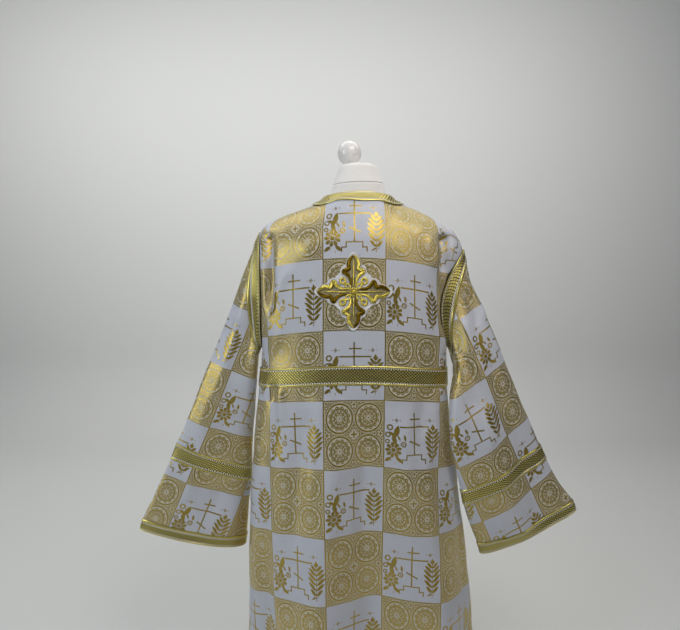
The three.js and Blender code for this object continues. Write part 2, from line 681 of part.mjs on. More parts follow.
function asSolid(geometry) {
  const bare = geometry.clone();
  bare.deleteAttribute("normal");
  bare.deleteAttribute("uv");
  const merged = mergeVertices(bare, 1e-4);
  return new wasm.Manifold(new wasm.Mesh({
    numProp: 3,
    vertProperties: new Float32Array(merged.attributes.position.array),
    triVerts: new Uint32Array(merged.index.array),
  }));
}

// All the gold cords of the cross joined into one piece
function crossGold() {
  const pieces = [];
  for (const turned of [0, 90, 180, 270]) {
    for (const mirror of [1, -1]) {
      pieces.push(goldCord(ARM_EDGE.map((p) => [p.along, mirror * p.across]), 5, turned));
    }
    pieces.push(goldRing(turned));
  }
  const hub = new THREE.SphereGeometry(9, 12, 8);
  const middle = onYoke(CROSS.x, CROSS.z, 2.2 + LIFT + 3);
  hub.scale(1, 0.3, 1);
  hub.translate(middle.x, middle.y, middle.z);
  pieces.push(hub);
  for (const turned of [0, 90, 180, 270]) {
    const inner = 6;
    const outer = (SCROLL_RING.from - SCROLL_RING.radius) * Math.SQRT1_2 + 1;
    for (const side of [1, -1]) {
      const bulge = 4.5 * side;
      const middleSpot = (inner + outer) / 2;
      pieces.push(goldCord(
        [[inner - 3, inner - 3], [middleSpot + bulge, middleSpot - bulge], [outer, outer]], 2.6, turned,
      ));
    }
  }
  const joined = pieces.map(asSolid).reduce((sum, piece) => sum.add(piece));
  const mesh = joined.getMesh();
  return meshData(Array.from(mesh.vertProperties), Array.from(mesh.triVerts));
}

function formRing(ring, turn) {
  const [c, s] = [Math.cos(turn), Math.sin(turn)];
  const depth = s < 0 ? ring.back : ring.front;
  return new THREE.Vector3(
    ring.half * Math.sign(c) * Math.abs(c) ** 0.92,
    depth * Math.sign(s) * Math.abs(s) ** 0.92,
    ring.z,
  );
}

function torso() {
  const rings = TORSO;
  return ringStack(rings, formRing, 28);
}

function neckCap() {
  return ringStack(NECK_CAP, formRing, 24);
}

function finial() {
  const foot = Math.asin(BALL_FOOT / BALL_RADIUS);
  const middle = 1.5 + BALL_RADIUS * Math.cos(foot);
  const profile = [new THREE.Vector2(0, 0), new THREE.Vector2(BALL_FOOT, 0)];
  for (let k = 0; k <= 9; k += 1) {
    const turn = foot + (k / 9) * (Math.PI - foot);
    const radius = k === 9 ? 0 : BALL_RADIUS * Math.sin(turn);
    profile.push(new THREE.Vector2(radius, middle - BALL_RADIUS * Math.cos(turn)));
  }
  const ball = new THREE.LatheGeometry(profile, 18);
  ball.rotateX(Math.PI / 2);
  ball.translate(BALL_PLACE.x, BALL_PLACE.y, NECK_CAP[NECK_CAP.length - 1].z + SEAM);
  return ball;
}

function base() {
  const profile = [
    new THREE.Vector2(0, 0), new THREE.Vector2(BASE_RADIUS - 3, 0), new THREE.Vector2(BASE_RADIUS, 3),
    new THREE.Vector2(BASE_RADIUS - 4, 9), new THREE.Vector2(60, BASE_HEIGHT - 1),
    new THREE.Vector2(34, BASE_HEIGHT), new THREE.Vector2(0, BASE_HEIGHT),
  ];
  const plate = new THREE.LatheGeometry(profile, 40);
  plate.rotateX(Math.PI / 2);
  return plate;
}

function pole() {
  const [foot, top] = [BASE_HEIGHT + SEAM, TORSO[0].z - SEAM];
  const rod = new THREE.CylinderGeometry(POLE_RADIUS, POLE_RADIUS, top - foot, 20);
  rod.rotateX(Math.PI / 2);
  rod.translate(0, 0, (foot + top) / 2);
  return rod;
}

const MATERIALS = {
  brocade: new THREE.MeshStandardMaterial({ color: 0xe3ddca, roughness: 0.42, metalness: 0.12, side: THREE.DoubleSide }),
  braid: new THREE.MeshStandardMaterial({ color: 0xc9a83a, roughness: 0.36, metalness: 0.55 }),
  ground: new THREE.MeshStandardMaterial({ color: 0xeceae6, roughness: 0.5, metalness: 0 }),
  gold: new THREE.MeshStandardMaterial({ color: 0xb8931f, roughness: 0.32, metalness: 0.6 }),
  jersey: new THREE.MeshStandardMaterial({ color: 0xefeae4, roughness: 0.85, metalness: 0 }),
  paint: new THREE.MeshStandardMaterial({ color: 0xf2efea, roughness: 0.25, metalness: 0 }),
};

const group = new THREE.Group();
function put(name, geometry, material, parent = group) {
  const mesh = new THREE.Mesh(geometry, material);
  mesh.name = name;
  parent.add(mesh);
  return mesh;
}

const stand = new THREE.Group();
group.add(stand);
put("form_torso", torso(), MATERIALS.jersey, stand);
put("form_neck_cap", neckCap(), MATERIALS.jersey, stand);
put("form_finial", finial(), MATERIALS.paint, stand);
put("stand_pole", pole(), MATERIALS.paint, stand);
put("stand_base", base(), MATERIALS.paint, stand);

const robe = new THREE.Group();
group.add(robe);
put("back_panel", panelSolid("back"), MATERIALS.brocade, robe);
put("front_panel", panelSolid("front"), MATERIALS.brocade, robe);
put("band_back", bandSolid("back"), MATERIALS.braid, robe);
put("band_front", bandSolid("front"), MATERIALS.braid, robe);
put("hem_braid", hemBraid(), MATERIALS.braid, robe);
put("neck_braid", neckBraid(), MATERIALS.braid, robe);
for (const side of ["left", "right"]) {
  put(`sleeve_${side}`, sleeveSolid(side), MATERIALS.brocade, robe);
  put(`armhole_braid_${side}`, sleeveBraid(side, 0, 1), MATERIALS.braid, robe);
  put(`sleeve_band_${side}`, sleeveBraid(side, 6), MATERIALS.braid, robe);
  put(`cuff_braid_${side}`, sleeveBraid(side, 9), MATERIALS.braid, robe);
}
put("cross_ground", crossGround(), MATERIALS.ground, robe);
put("cross_gold", crossGold(), MATERIALS.gold, robe);

export default group;
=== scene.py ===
import math

import bmesh
import bpy
import numpy as np
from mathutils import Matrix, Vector
from mathutils.bvhtree import BVHTree


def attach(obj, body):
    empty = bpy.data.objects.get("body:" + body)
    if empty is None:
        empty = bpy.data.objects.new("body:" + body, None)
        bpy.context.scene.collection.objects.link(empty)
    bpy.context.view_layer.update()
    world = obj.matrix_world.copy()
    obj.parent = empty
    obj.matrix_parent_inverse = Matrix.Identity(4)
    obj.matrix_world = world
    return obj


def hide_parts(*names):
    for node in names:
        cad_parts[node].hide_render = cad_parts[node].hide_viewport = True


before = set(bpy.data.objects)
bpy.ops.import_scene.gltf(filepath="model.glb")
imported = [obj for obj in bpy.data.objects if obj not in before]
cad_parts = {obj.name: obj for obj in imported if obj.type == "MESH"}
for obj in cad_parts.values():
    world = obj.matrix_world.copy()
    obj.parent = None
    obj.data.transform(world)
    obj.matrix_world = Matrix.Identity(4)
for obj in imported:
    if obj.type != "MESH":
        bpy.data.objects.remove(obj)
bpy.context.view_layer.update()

# Shape of the robe, in millimetres. A table's first column is the place that it is read by.
HEM, PIT, BAND_MIDDLE = 80.0, 1135.0, 1058.0
WIDE_BRAID, EDGE_BRAID = 46.0, 31.0
BAND_LOW, BAND_HIGH = BAND_MIDDLE - WIDE_BRAID / 2, BAND_MIDDLE + WIDE_BRAID / 2
CLOTH, BRAID = 1.8, 1.1
# how round a level cut through the robe is, where 2 is an ellipse
ROUND = 2.2
NECK_HALF, NECK_SIDE, NECK_RISE = 90.0, 1490.0, 1.1
NECK = {"back": (62.0, 1500.5), "front": (84.0, 1452.0)}
# how far below the shoulder seams the yoke still curves
SHOULDER_DROP = 125.0

# height, half width left, right, depth back, front
BODY = [
    (80, 308, 334, 172, 176), (360, 299, 322, 142, 154), (550, 297, 301, 126, 142),
    (770, 285, 272, 118, 134), (1007, 263, 240, 115, 128), (1135, 249, 234, 115, 126),
    (1290, 248, 236, 116, 126), (1420, 251, 262, 112, 118),
]
DROOP = [(80, 0), (600, 18), (1058, 25), (1135, 23)]
SHOULDER = {
    "left": [
        (90, 1490), (121, 1475), (149, 1464), (180, 1452), (217, 1437), (239, 1424), (251, 1408),
    ],
    "right": [
        (90, 1490), (111, 1480), (160, 1459), (212, 1431), (230, 1421), (246, 1410), (262, 1388),
        (271, 1364),
    ],
}
# tip x, tip z, pit x, pit z, bow, depth
ARMHOLE = {"left": (251, 1408, 249, 1112, 5, 42), "right": (271, 1364, 234, 1112, 44, 42)}
# ring, outer fold x y z, inner fold x y z, reach back, reach front, taper
SLEEVE = {
    "left": [
        (0, 252.7, 0, 1408, 254, 0, 1110, 42, 42, 0), (1, 266, 3, 1379, 263, 3, 1089, 43, 46, 0.1),
        (2, 304, 7, 1287, 268, 10, 1036, 44, 50, 0.25),
        (3, 346, 9, 1180, 275, 20, 985, 42, 50, 0.35),
        (4, 404, 10, 1045, 282, 32, 915, 38, 46, 0.4),
        (5, 459, 10, 908, 289, 42, 842, 34, 42, 0.4), (6, 490, 8, 843, 294, 46, 765, 32, 40, 0.4),
        (7, 508, 7, 799, 296, 48, 720, 30, 40, 0.4), (8, 548, 4, 709, 306, 50, 634, 36, 38, 0.5),
        (9, 589, 1, 630, 314, 52, 560, 46, 38, 0.6), (10, 598, 0, 600, 318, 52, 528, 50, 38, 0.6),
    ],
    "right": [
        (0, 272.7, 0, 1364, 239, 0, 1110, 42, 42, 0),
        (1, 281, -1, 1335, 249, -6, 1088, 44, 42, 0.1),
        (2, 300, -4, 1260, 250, -34, 1042, 46, 36, 0.25),
        (3, 345, -8, 1166, 233, -62, 985, 42, 30, 0.3),
        (4, 392, -10, 1062, 232, -75, 905, 38, 27, 0.3),
        (5, 440, -10, 952, 244, -76, 824, 36, 26, 0.3),
        (6, 490, -10, 849, 265, -68, 747, 34, 26, 0.3),
        (7, 508, -10, 808, 276, -62, 704, 34, 28, 0.3),
        (8, 550, -10, 735, 298, -52, 636, 32, 32, 0.3),
        (9, 583, -10, 690, 319, -44, 587, 30, 36, 0.3),
        (10, 595, -10, 661, 330, -40, 556, 30, 36, 0.3),
    ],
}
# place at the band, at the hem, width, depth at the hem, height where it starts
SKIRT_FOLDS = {
    "back": [
        (-0.2, -0.24, 0.14, 34, 1000), (0.08, 0.1, 0.13, -44, 1000), (0.45, 0.5, 0.13, 34, 1010),
        (-0.66, -0.6, 0.09, -24, 1010), (0.78, 0.8, 0.09, -20, 800),
    ],
    "front": [
        (-0.12, -0.08, 0.14, 34, 1020), (0.26, 0.3, 0.12, -38, 990),
        (-0.44, -0.42, 0.12, -36, 960), (0.56, 0.6, 0.12, 28, 900), (-0.74, -0.74, 0.1, 22, 820),
    ],
}
# upright crease at each armhole: place from the middle, width, depth, lowest and highest point
SHOULDER_CREASE = {"left": (221, 12, 20, 1190, 1405), "right": (216, 14, 26, 1270, 1405)}
# the way that it sinks: shares towards the middle and towards the form
SINK_ASIDE, SINK_DEEP = 0.45, 0.89
# turn, drift, width, depth, first ring, last ring
SLEEVE_FOLDS = {
    "left": [(118, -26, 20, -8, 0.5, 6), (60, 14, 18, 5, 1, 7), (250, 18, 24, -9, 0.5, 7)],
    "right": [
        (122, -40, 17, -12, 0.6, 5), (98, 0, 17, 12, 4, 10.5), (60, 0, 15, -7, 4, 10.5),
        (262, -18, 24, -7, 0.5, 7),
    ],
}
# Creases and soft ridges: spots (x, z) along each, its half width, its height outwards
BACK_CREASES = [
    ([(-150, 1330), (-188, 1285), (-205, 1225)], 13, 5),
    ([(-222, 1340), (-214, 1290), (-226, 1232)], 9, -4),
    ([(-214, 1032), (-218, 1000), (-222, 965)], 10, -10),
    ([(-196, 1030), (-196, 1000), (-192, 960), (-196, 900)], 12, 7),
    ([(205, 1030), (196, 960), (200, 860)], 15, 6),
    ([(168, 1025), (160, 960), (150, 880)], 18, -6),
    ([(60, 1025), (48, 940), (40, 860)], 26, -5),
    ([(-96, 1028), (-92, 940), (-96, 840)], 26, 5),
    ([(150, 1400), (190, 1360), (206, 1300)], 12, 5),
    ([(176, 1330), (196, 1280), (214, 1225)], 12, -4),
    ([(-60, 1420), (-110, 1380), (-150, 1345)], 24, 2.5),
    ([(70, 1440), (120, 1410), (170, 1385)], 24, 2.5),
    ([(-190, 1180), (-210, 1130), (-226, 1090)], 12, 3.5),
    ([(205, 1180), (214, 1130), (216, 1092)], 12, 3.5),
    ([(-132, 1000), (-150, 820), (-168, 560)], 22, -8),
    ([(-52, 900), (-72, 760), (-84, 520)], 24, 7),
    ([(18, 900), (14, 760), (6, 520)], 22, -7),
    ([(104, 1000), (124, 800), (134, 540)], 24, 8),
    ([(186, 880), (204, 740), (222, 560)], 18, -7),
]
FRONT_CREASES = [
    ([(-160, 1330), (-196, 1270), (-212, 1210)], 14, 5),
    ([(170, 1320), (200, 1262), (214, 1205)], 14, 5),
    ([(-90, 1025), (-84, 940), (-90, 830)], 26, 5),
    ([(110, 1020), (120, 930), (112, 830)], 24, -6),
    ([(-196, 1020), (-206, 960), (-204, 890)], 13, -7),
    ([(60, 1400), (120, 1370), (168, 1330)], 24, 3),
    ([(-60, 1390), (-120, 1360), (-168, 1320)], 24, 3),
]
SLEEVE_CREASES = {
    "left": [
        ([(-276, 1330), (-292, 1240), (-330, 1130)], 14, 5),
        ([(-262, 1260), (-276, 1170), (-292, 1080)], 13, -6),
        ([(-300, 1200), (-312, 1100), (-350, 1000)], 16, -5),
        ([(-292, 1080), (-330, 960), (-372, 872)], 18, 5),
        ([(-380, 1020), (-420, 900), (-440, 830)], 18, 3),
        ([(-350, 760), (-380, 690), (-430, 600)], 22, -6),
        ([(-420, 780), (-470, 700), (-520, 640)], 24, 5),
        ([(-320, 700), (-345, 620), (-370, 560)], 18, 5),
    ],
    "right": [
        ([(252, 1296), (290, 1262), (318, 1215), (330, 1160)], 9, 6),
        ([(256, 1270), (282, 1240), (300, 1196), (306, 1150)], 9, -6),
        ([(262, 1200), (276, 1150), (288, 1080)], 12, 6),
        ([(300, 1240), (340, 1150), (388, 1030)], 16, 4),
        ([(240, 1090), (262, 1010), (290, 930)], 14, -6),
        ([(330, 1110), (352, 1020), (384, 930)], 18, -4),
        ([(300, 1000), (330, 900), (352, 850)], 16, 5),
        ([(352, 700), (376, 640), (400, 590)], 15, 5),
        ([(460, 760), (500, 700), (530, 650)], 20, 4),
    ],
}
# share of a crease's length over which it fades at each end, and what is left of it there
CREASE_FADE, CREASE_END = 0.3, 0.12
MM = 0.001


def ease(value):
    t = np.clip(value, 0, 1)
    return t * t * (3 - 2 * t)


def bell(away, width):
    return np.exp(-((away / width) ** 2))


def read(table, at):
    """The columns of a table at any places, on a smooth curve through its rows."""
    rows = np.array(table, float)
    place, last = rows[:, 0], len(rows) - 1
    at = np.clip(np.asarray(at, float), place[0], place[-1])
    i = np.clip(np.searchsorted(place, at) - 1, 0, last - 1)
    before, after = np.maximum(i - 1, 0), np.minimum(i + 2, last)
    span = (place[i + 1] - place[i])[..., None]
    t = (at - place[i])[..., None] / span
    low, high = rows[i], rows[i + 1]
    slope_low = (high - rows[before]) * span / (place[i + 1] - place[before])[..., None]
    slope_high = (rows[after] - low) * span / (place[after] - place[i])[..., None]
    found = ((2 * t**3 - 3 * t**2 + 1) * low + (t**3 - 2 * t**2 + t) * slope_low
             + (3 * t**2 - 2 * t**3) * high + (t**3 - t**2) * slope_high)
    return [found[..., k] for k in range(1, rows.shape[1])]


def outline(u):
    """Shares of the half width and of the depth at place u across a panel."""
    turn = (math.pi / 2) * np.abs(u) ** (ROUND / 2)
    return np.sin(turn) ** (2 / ROUND), np.maximum(np.cos(turn), 0) ** (2 / ROUND)


def facing(panel):
    return -1 if panel == "back" else 1


def by_side(u, left, right):
    return np.where(u < 0, left, right)


def skirt_fold(panel, u, height):
    """How far the folds of the skirt stand out, growing towards the hem."""
    total = 0
    for band, hem, width, depth, top in SKIRT_FOLDS[panel]:
        down = np.clip((top - height) / (top - HEM), 0, 1)
        total = total + depth * down**0.85 * bell(u - band - (hem - band) * down, width)
    return total


def lower_point(panel, u, height):
    """Outside of the robe from the hem to the armpits."""
    left, right, back, front = read(BODY, height)
    half = by_side(u, left, right)
    depth = back if panel == "back" else front
    wide, deep = outline(u)
    away_x = np.sign(u) * wide ** (ROUND - 1) / half
    away_y = facing(panel) * deep ** (ROUND - 1) / depth
    size = np.hypot(away_x, away_y)
    fold = skirt_fold(panel, u, height) / size
    x = np.sign(u) * wide * half + away_x * fold
    y = facing(panel) * deep * depth + away_y * fold
    return np.stack(np.broadcast_arrays(x, y, height - read(DROOP, height)[0] * wide**2), -1)


def armhole_point(side, panel, down):
    """A point of the armhole's seam: down 0 the shoulder's tip, 1 the armpit."""
    tip_x, tip_z, pit_x, pit_z, bow, depth = ARMHOLE[side]
    sign = -1 if side == "left" else 1
    x = sign * (tip_x + (pit_x - tip_x) * down - bow * np.sin(math.pi * down))
    y = facing(panel) * depth * np.sqrt(np.clip(1 - (1 - 2 * down) ** 2, 0, 1))
    return x, y, tip_z + (pit_z - tip_z) * down


def top_edge(panel, u):
    """The shoulder seam, or the neckline in the middle."""
    x = by_side(u, ARMHOLE["left"][0], ARMHOLE["right"][0]) * outline(u)[0]
    depth, height = NECK[panel]
    bow = np.sqrt(np.clip(1 - (x / NECK_HALF) ** 2, 0, 1))
    crest = by_side(u, read(SHOULDER["left"], x)[0], read(SHOULDER["right"], x)[0])
    in_neck = x < NECK_HALF - 0.01
    y = np.where(in_neck, facing(panel) * depth * bow, 0)
    z = np.where(in_neck, NECK_SIDE + (height - NECK_SIDE) * bow**NECK_RISE, crest)
    return y, z


def upper_point(panel, u, rise):
    """Outside of the robe from the armpits to the shoulder seams and the neckline."""
    wide, deep = outline(u)
    holes = {side: armhole_point(side, panel, 1 - rise) for side in ("left", "right")}
    seam_x = by_side(u, -holes["left"][0], holes["right"][0])
    seam_y = by_side(u, holes["left"][1], holes["right"][1])
    top_y, top_z = top_edge(panel, u)
    foot = lower_point(panel, u, np.full_like(u, PIT))[..., 2]
    z = foot + (top_z - foot) * rise
    depth = read(BODY, z)[2 if panel == "back" else 3]
    fall = np.clip((top_z - z) / SHOULDER_DROP, 0, 1)
    # the yoke turns over more slowly towards the neck than at the shoulders
    towards_neck = ease(1 - np.abs(u) / 0.55)
    curved = (1 - (1 - fall) ** 2) ** (0.55 + 0.25 * towards_neck)
    y = deep * (top_y + (facing(panel) * depth - top_y) * curved) + (1 - deep) * seam_y
    x = seam_x * wide
    sink = 0
    for side, here in (("left", u < 0), ("right", u >= 0)):
        place, width, deepest, low, high = SHOULDER_CREASE[side]
        along = ease((z - low) / 60) * ease((high - z) / 20)
        sink = sink + here * deepest * along * bell(x - place, width)
    x, y = x - SINK_ASIDE * sink, y - facing(panel) * SINK_DEEP * sink
    return np.stack([np.sign(u) * x, y, z], -1)


def sleeve_point(side, at, turn):
    """A point of a sleeve: at 0 the armhole to 10 the cuff, turn 0 the outer fold, 90 the back."""
    out_x, out_y, out_z, in_x, in_y, in_z, back, front, taper = read(SLEEVE[side], at)
    sign = -1 if side == "left" else 1
    c, s = np.cos(np.radians(turn)), np.sin(np.radians(turn))
    down = (1 - c) / 2
    bow = ARMHOLE[side][4] * np.sin(math.pi * down) * ease(1 - at / 3)
    reach = np.where(s > 0, back, front) * (1 - taper * (1 + c) / 2)
    fold = 0
    for middle, drift, width, depth, first, last in SLEEVE_FOLDS[side]:
        away = (turn - middle - drift * (at - first) / (last - first) + 180) % 360 - 180
        along = ease((at - first) / 1.5) * ease((last - at) / 1.5)
        fold = fold + depth * along * bell(away, width)
    x = sign * (out_x + (in_x - out_x) * down - bow)
    y = out_y + (in_y - out_y) * down - s * (reach + fold)
    return np.stack(np.broadcast_arrays(x, y, out_z + (in_z - out_z) * down), -1)


def place_of(side, x):
    """The place across a panel's top that lies at x from the middle."""
    share = (x / ARMHOLE[side][0]) ** (ROUND / 2)
    return (math.asin(share) / (math.pi / 2)) ** (2 / ROUND)


def even_steps(*stretches):
    """Places in even steps through stretches of (first, last, steps), without the very last."""
    return np.concatenate([np.linspace(*stretch, endpoint=False) for stretch in stretches])


def across_panel(middle, side):
    """Places across a panel, with a column on each end of the neckline."""
    left, right = -place_of("left", NECK_HALF), place_of("right", NECK_HALF)
    return np.append(even_steps((-1, left, side), (left, right, middle), (right, 1, side)), 1)


def normals_of(points, closed=False, flip=False):
    """Directions straight out of a grid of points, whose rows are rings when it is closed."""
    across = np.gradient(points, axis=1)
    if closed:
        across = np.roll(points, -1, 1) - np.roll(points, 1, 1)
    normal = np.cross(across, np.gradient(points, axis=0))
    normal /= np.linalg.norm(normal, axis=-1, keepdims=True) + 1e-12
    return -normal if flip else normal


def crease(points, spots, width):
    """How much each point feels a crease that runs along spots (x, z), fading at its two ends."""
    best, felt = np.full(points.shape[:2], 1e9), np.zeros(points.shape[:2])
    where = points[..., [0, 2]]
    total = len(spots) - 1
    for k in range(total):
        a, b = np.array(spots[k], float), np.array(spots[k + 1], float)
        t = np.clip((where - a) @ (b - a) / ((b - a) @ (b - a)), 0, 1)
        away = np.linalg.norm(where - a - t[..., None] * (b - a), axis=-1)
        along = (k + t) / total
        near = away < best
        best = np.where(near, away, best)
        fade = ease(along / CREASE_FADE) * ease((1 - along) / CREASE_FADE)
        felt = np.where(near, fade, felt)
    return np.maximum(felt, CREASE_END) * bell(best, width)


def creased(points, normals, creases, front=False, flow=0.0):
    """Moves points outwards by the creases on the side that they are laid on, and by small ripples.

    Flow shifts the ripples, so that no two pieces of cloth have the same ones.
    """
    side = ease(normals[..., 1] * (1 if front else -1) / 0.35)
    move = np.zeros(points.shape[:2])
    for spots, width, height in creases:
        move += height * crease(points, spots, width)
    x, z = points[..., 0], points[..., 2]
    ripple = np.sin(x / 31 + 1.7 * np.sin(z / 83)) * np.sin(z / 47 + 1.3 * np.sin(x / 59 + flow))
    ripple += 0.5 * np.sin(x / 17 + z / 29 + flow) * np.sin(z / 22 - x / 41)
    # the cloth hangs looser below the band
    loose = 0.75 + 0.75 * ease((1030 - z) / 120)
    return points + normals * (move * side + loose * ripple)[..., None]


def run_along(points, axis):
    """How far each point lies along its row, on axis 1, or its column, on axis 0."""
    step = np.linalg.norm(np.diff(points, axis=axis), axis=-1)
    start = np.zeros_like(step[:, :1] if axis else step[:1])
    return np.concatenate([start, np.cumsum(step, axis)], axis)


def deselect_all():
    if bpy.context.object and bpy.context.object.mode != "OBJECT":
        bpy.ops.object.mode_set(mode="OBJECT")
    bpy.ops.object.select_all(action="DESELECT")


def make_active(obj):
    deselect_all()
    obj.select_set(True)
    bpy.context.view_layer.objects.active = obj


def edit_all():
    bpy.ops.object.mode_set(mode="EDIT")
    bpy.ops.mesh.select_all(action="SELECT")


def cloth_object(name, vertices, faces, spots):
    """A mesh with a place on its own cloth for each corner of each face."""
    mesh = bpy.data.meshes.new(name)
    mesh.from_pydata(vertices, [], faces)
    layer = mesh.uv_layers.new(name="cloth")
    layer.data.foreach_set("uv", np.array(spots, np.float32).ravel())
    obj = bpy.data.objects.new(name, mesh)
    bpy.context.scene.collection.objects.link(obj)
    return obj


def cloth_grid(name, points, places, closed=False, flip=False):
    """A sheet through rows of points in millimetres, with its own cloth coordinates in metres."""
    rows, columns = points.shape[:2]
    wrap = columns if closed else columns - 1
    i, j = np.meshgrid(np.arange(rows - 1), np.arange(wrap), indexing="ij")
    i, j = i.ravel(), j.ravel()
    nxt = (j + 1) % columns
    corners = [(i, j, j), (i, nxt, j + 1), (i + 1, nxt, j + 1), (i + 1, j, j)]
    if flip:
        corners.reverse()
    faces = np.stack([r * columns + c for r, c, _ in corners], 1)
    spots = np.stack([places[r, p] for r, _, p in corners], 1)
    return cloth_object(name, (points.reshape(-1, 3) * MM).tolist(), faces.tolist(), spots)


def finish_sheet(obj, thick, materials):
    """Gives a sheet its thickness inwards, and a second material on the inside if there is one."""
    for material in materials:
        obj.data.materials.append(material)
    make_active(obj)
    wall = obj.modifiers.new("wall", "SOLIDIFY")
    wall.thickness, wall.offset, wall.use_quality_normals = thick * MM, -1.0, True
    wall.material_offset = 1 if len(materials) > 1 else 0
    bpy.ops.object.modifier_apply(modifier=wall.name)
    bpy.ops.object.shade_smooth_by_angle(angle=math.radians(50))
    deselect_all()
    return obj


class Value:
    """A socket that sums can be written with. A shape is a distance, below zero inside it."""

    def __init__(self, tree, socket):
        self.tree, self.socket = tree, socket


def calc(tree, operation, *items):
    node = tree.nodes.new("ShaderNodeMath")
    node.operation = operation
    for slot, item in zip(node.inputs, items):
        if isinstance(item, Value):
            tree.links.new(item.socket, slot)
        else:
            slot.default_value = item
    return Value(tree, node.outputs[0])


def calc_of(operation):
    return lambda *items: calc(
        next(item.tree for item in items if isinstance(item, Value)), operation, *items)


SIGNS = {
    "add": "ADD", "radd": "ADD", "sub": "SUBTRACT", "mul": "MULTIPLY", "rmul": "MULTIPLY",
    "truediv": "DIVIDE", "abs": "ABSOLUTE", "lt": "LESS_THAN", "gt": "GREATER_THAN",
}
for sign, operation in SIGNS.items():
    setattr(Value, f"__{sign}__", calc_of(operation))
Value.__rsub__ = lambda self, other: calc(self.tree, "SUBTRACT", other, self)
least, most, sine, cosine, root, fraction, whole, angle_of = map(
    calc_of, ("MINIMUM", "MAXIMUM", "SINE", "COSINE", "SQRT", "FRACT", "FLOOR", "ARCTAN2"))


def either(first, *others):
    for other in others:
        first = least(first, other)
    return first


def length(x, y):
    return root(x * x + y * y)


def bar(x, y, cx, cy, half_x, half_y):
    return most(abs(x - cx) - half_x, abs(y - cy) - half_y)


def disc(x, y, cx, cy, radius):
    return length(x - cx, y - cy) - radius


def ring(x, y, cx, cy, radius, half):
    return abs(disc(x, y, cx, cy, radius)) - half


def turned(x, y, cx, cy, degrees):
    c, s = math.cos(math.radians(degrees)), math.sin(math.radians(degrees))
    dx, dy = x - cx, y - cy
    return dx * c + dy * s, dy * c - dx * s


def leaf(x, y, cx, cy, half_long, half_wide, degrees):
    """A pointed leaf whose length lies at an angle to x."""
    a, b = turned(x, y, cx, cy, degrees)
    share = a / half_long
    return abs(b) - half_wide * (1 - share * share)


def feed(tree, node, **sockets):
    """Links values to a node's sockets, whose names are written with _ for a space."""
    for name, item in sockets.items():
        tree.links.new(item.socket, node.inputs[name.replace("_", " ")])


def new_group(name, inputs, outputs):
    """A node group: inputs of (name, kind) or (name, kind, default), and named values out."""
    tree = bpy.data.node_groups.new(name, "ShaderNodeTree")
    for socket_name, kind, *default in inputs:
        socket = tree.interface.new_socket(
            name=socket_name, in_out="INPUT", socket_type=f"NodeSocket{kind}")
        if default:
            socket.default_value = default[0]
    for socket_name in outputs:
        tree.interface.new_socket(name=socket_name, in_out="OUTPUT", socket_type="NodeSocketFloat")
    into, out = tree.nodes.new("NodeGroupInput"), tree.nodes.new("NodeGroupOutput")
    return tree, [Value(tree, into.outputs[entry[0]]) for entry in inputs], out


def split(tree, vector):
    node = tree.nodes.new("ShaderNodeSeparateXYZ")
    tree.links.new(vector.socket, node.inputs[0])
    return [Value(tree, node.outputs[k]) for k in range(3)]


def noise(tree, vector, scale, detail, rough):
    node = tree.nodes.new("ShaderNodeTexNoise")
    tree.links.new(vector.socket, node.inputs["Vector"])
    node.inputs["Scale"].default_value = scale
    node.inputs["Detail"].default_value = detail
    node.inputs["Roughness"].default_value = rough
    return Value(tree, node.outputs["Fac"])


def mixed(tree, share, first, second):
    """A colour mixed from two colours, each a Value or three numbers."""
    node = tree.nodes.new("ShaderNodeMix")
    node.data_type = "RGBA"
    slots = [s for s in node.inputs if s.enabled and s.type == "RGBA"]
    factor = next(s for s in node.inputs if s.enabled and s.type == "VALUE")
    tree.links.new(share.socket, factor)
    for slot, item in zip(slots, (first, second)):
        if isinstance(item, Value):
            tree.links.new(item.socket, slot)
        else:
            slot.default_value = (*item, 1)
    return Value(tree, next(s for s in node.outputs if s.enabled and s.type == "RGBA"))


# The figures of the brocade, in millimetres from the middle of a cross square and down from its top
CHECK_WIDE, CHECK_HIGH = 150, 172
# middle x, y, half width, half height
CROSS_BARS = [
    (0, 81.5, 1.8, 53), (3, 44.5, 15, 1.8), (2, 64, 40, 1.9), (52, 112, 0.9, 46),
    (-45.5, 156, 0.7, 3), (-58, 150, 0.7, 4),
]
# middle x, y, half length, half thickness, degrees
SLANTED_BARS = [(1, 105, 15.5, 1.9, 25), (-38, 110, 6.5, 0.8, -22)]
# middle x, y, half length, half width, degrees
LEAVES = [
    (52, 66, 9, 3.6, 90), (46, 151, 7, 2.2, -30), (-65, 149, 10, 4.4, -38),
    (-38, 148, 11, 4.4, 40), (-45, 77, 17, 6.6, 104), (-50, 98, 13, 5.4, 72),
    (-55, 84, 10, 3.8, 40), (-39, 92, 7.5, 2.4, 62), (-25, 91, 8.5, 3.0, 80),
]
# middle x, y, radius, half thickness
CURLS = [(-61, 67, 6.0, 1.9), (-66, 86, 5.2, 1.8), (-67, 103, 4.2, 1.7), (-28, 107, 5.4, 1.6)]
BUD = (-28, 107, 2.0)
# the branch on the right, widest at its belly, and the space between its leaves and their slope
BRANCH_X, BRANCH_TOP, BRANCH_FOOT, BRANCH_WIDE = 52, 64, 153, 22.5
BELLY, BELLY_REACH, LEAF_SPACE, LEAF_SLOPE = 108, 54, 12.5, 0.85
FLOWER = (-52, 124)
SPRIG = (45, 48)
# a roundel's middle from the square's, and the radii of its rings
ROUNDEL, RIM, CHAIN, HUB, EYE = 35.6, 31.6, 20.8, 12.8, 2.0
RIM_INSIDE, RIM_LINE, RIM_OUTSIDE = 33.4, 34.4, 35.4
# the frame round the four, as distances from the square's middle
FRAME_EDGE, FRAME_LINE, SIDE_CROSS = 71.4, 72.0, 66


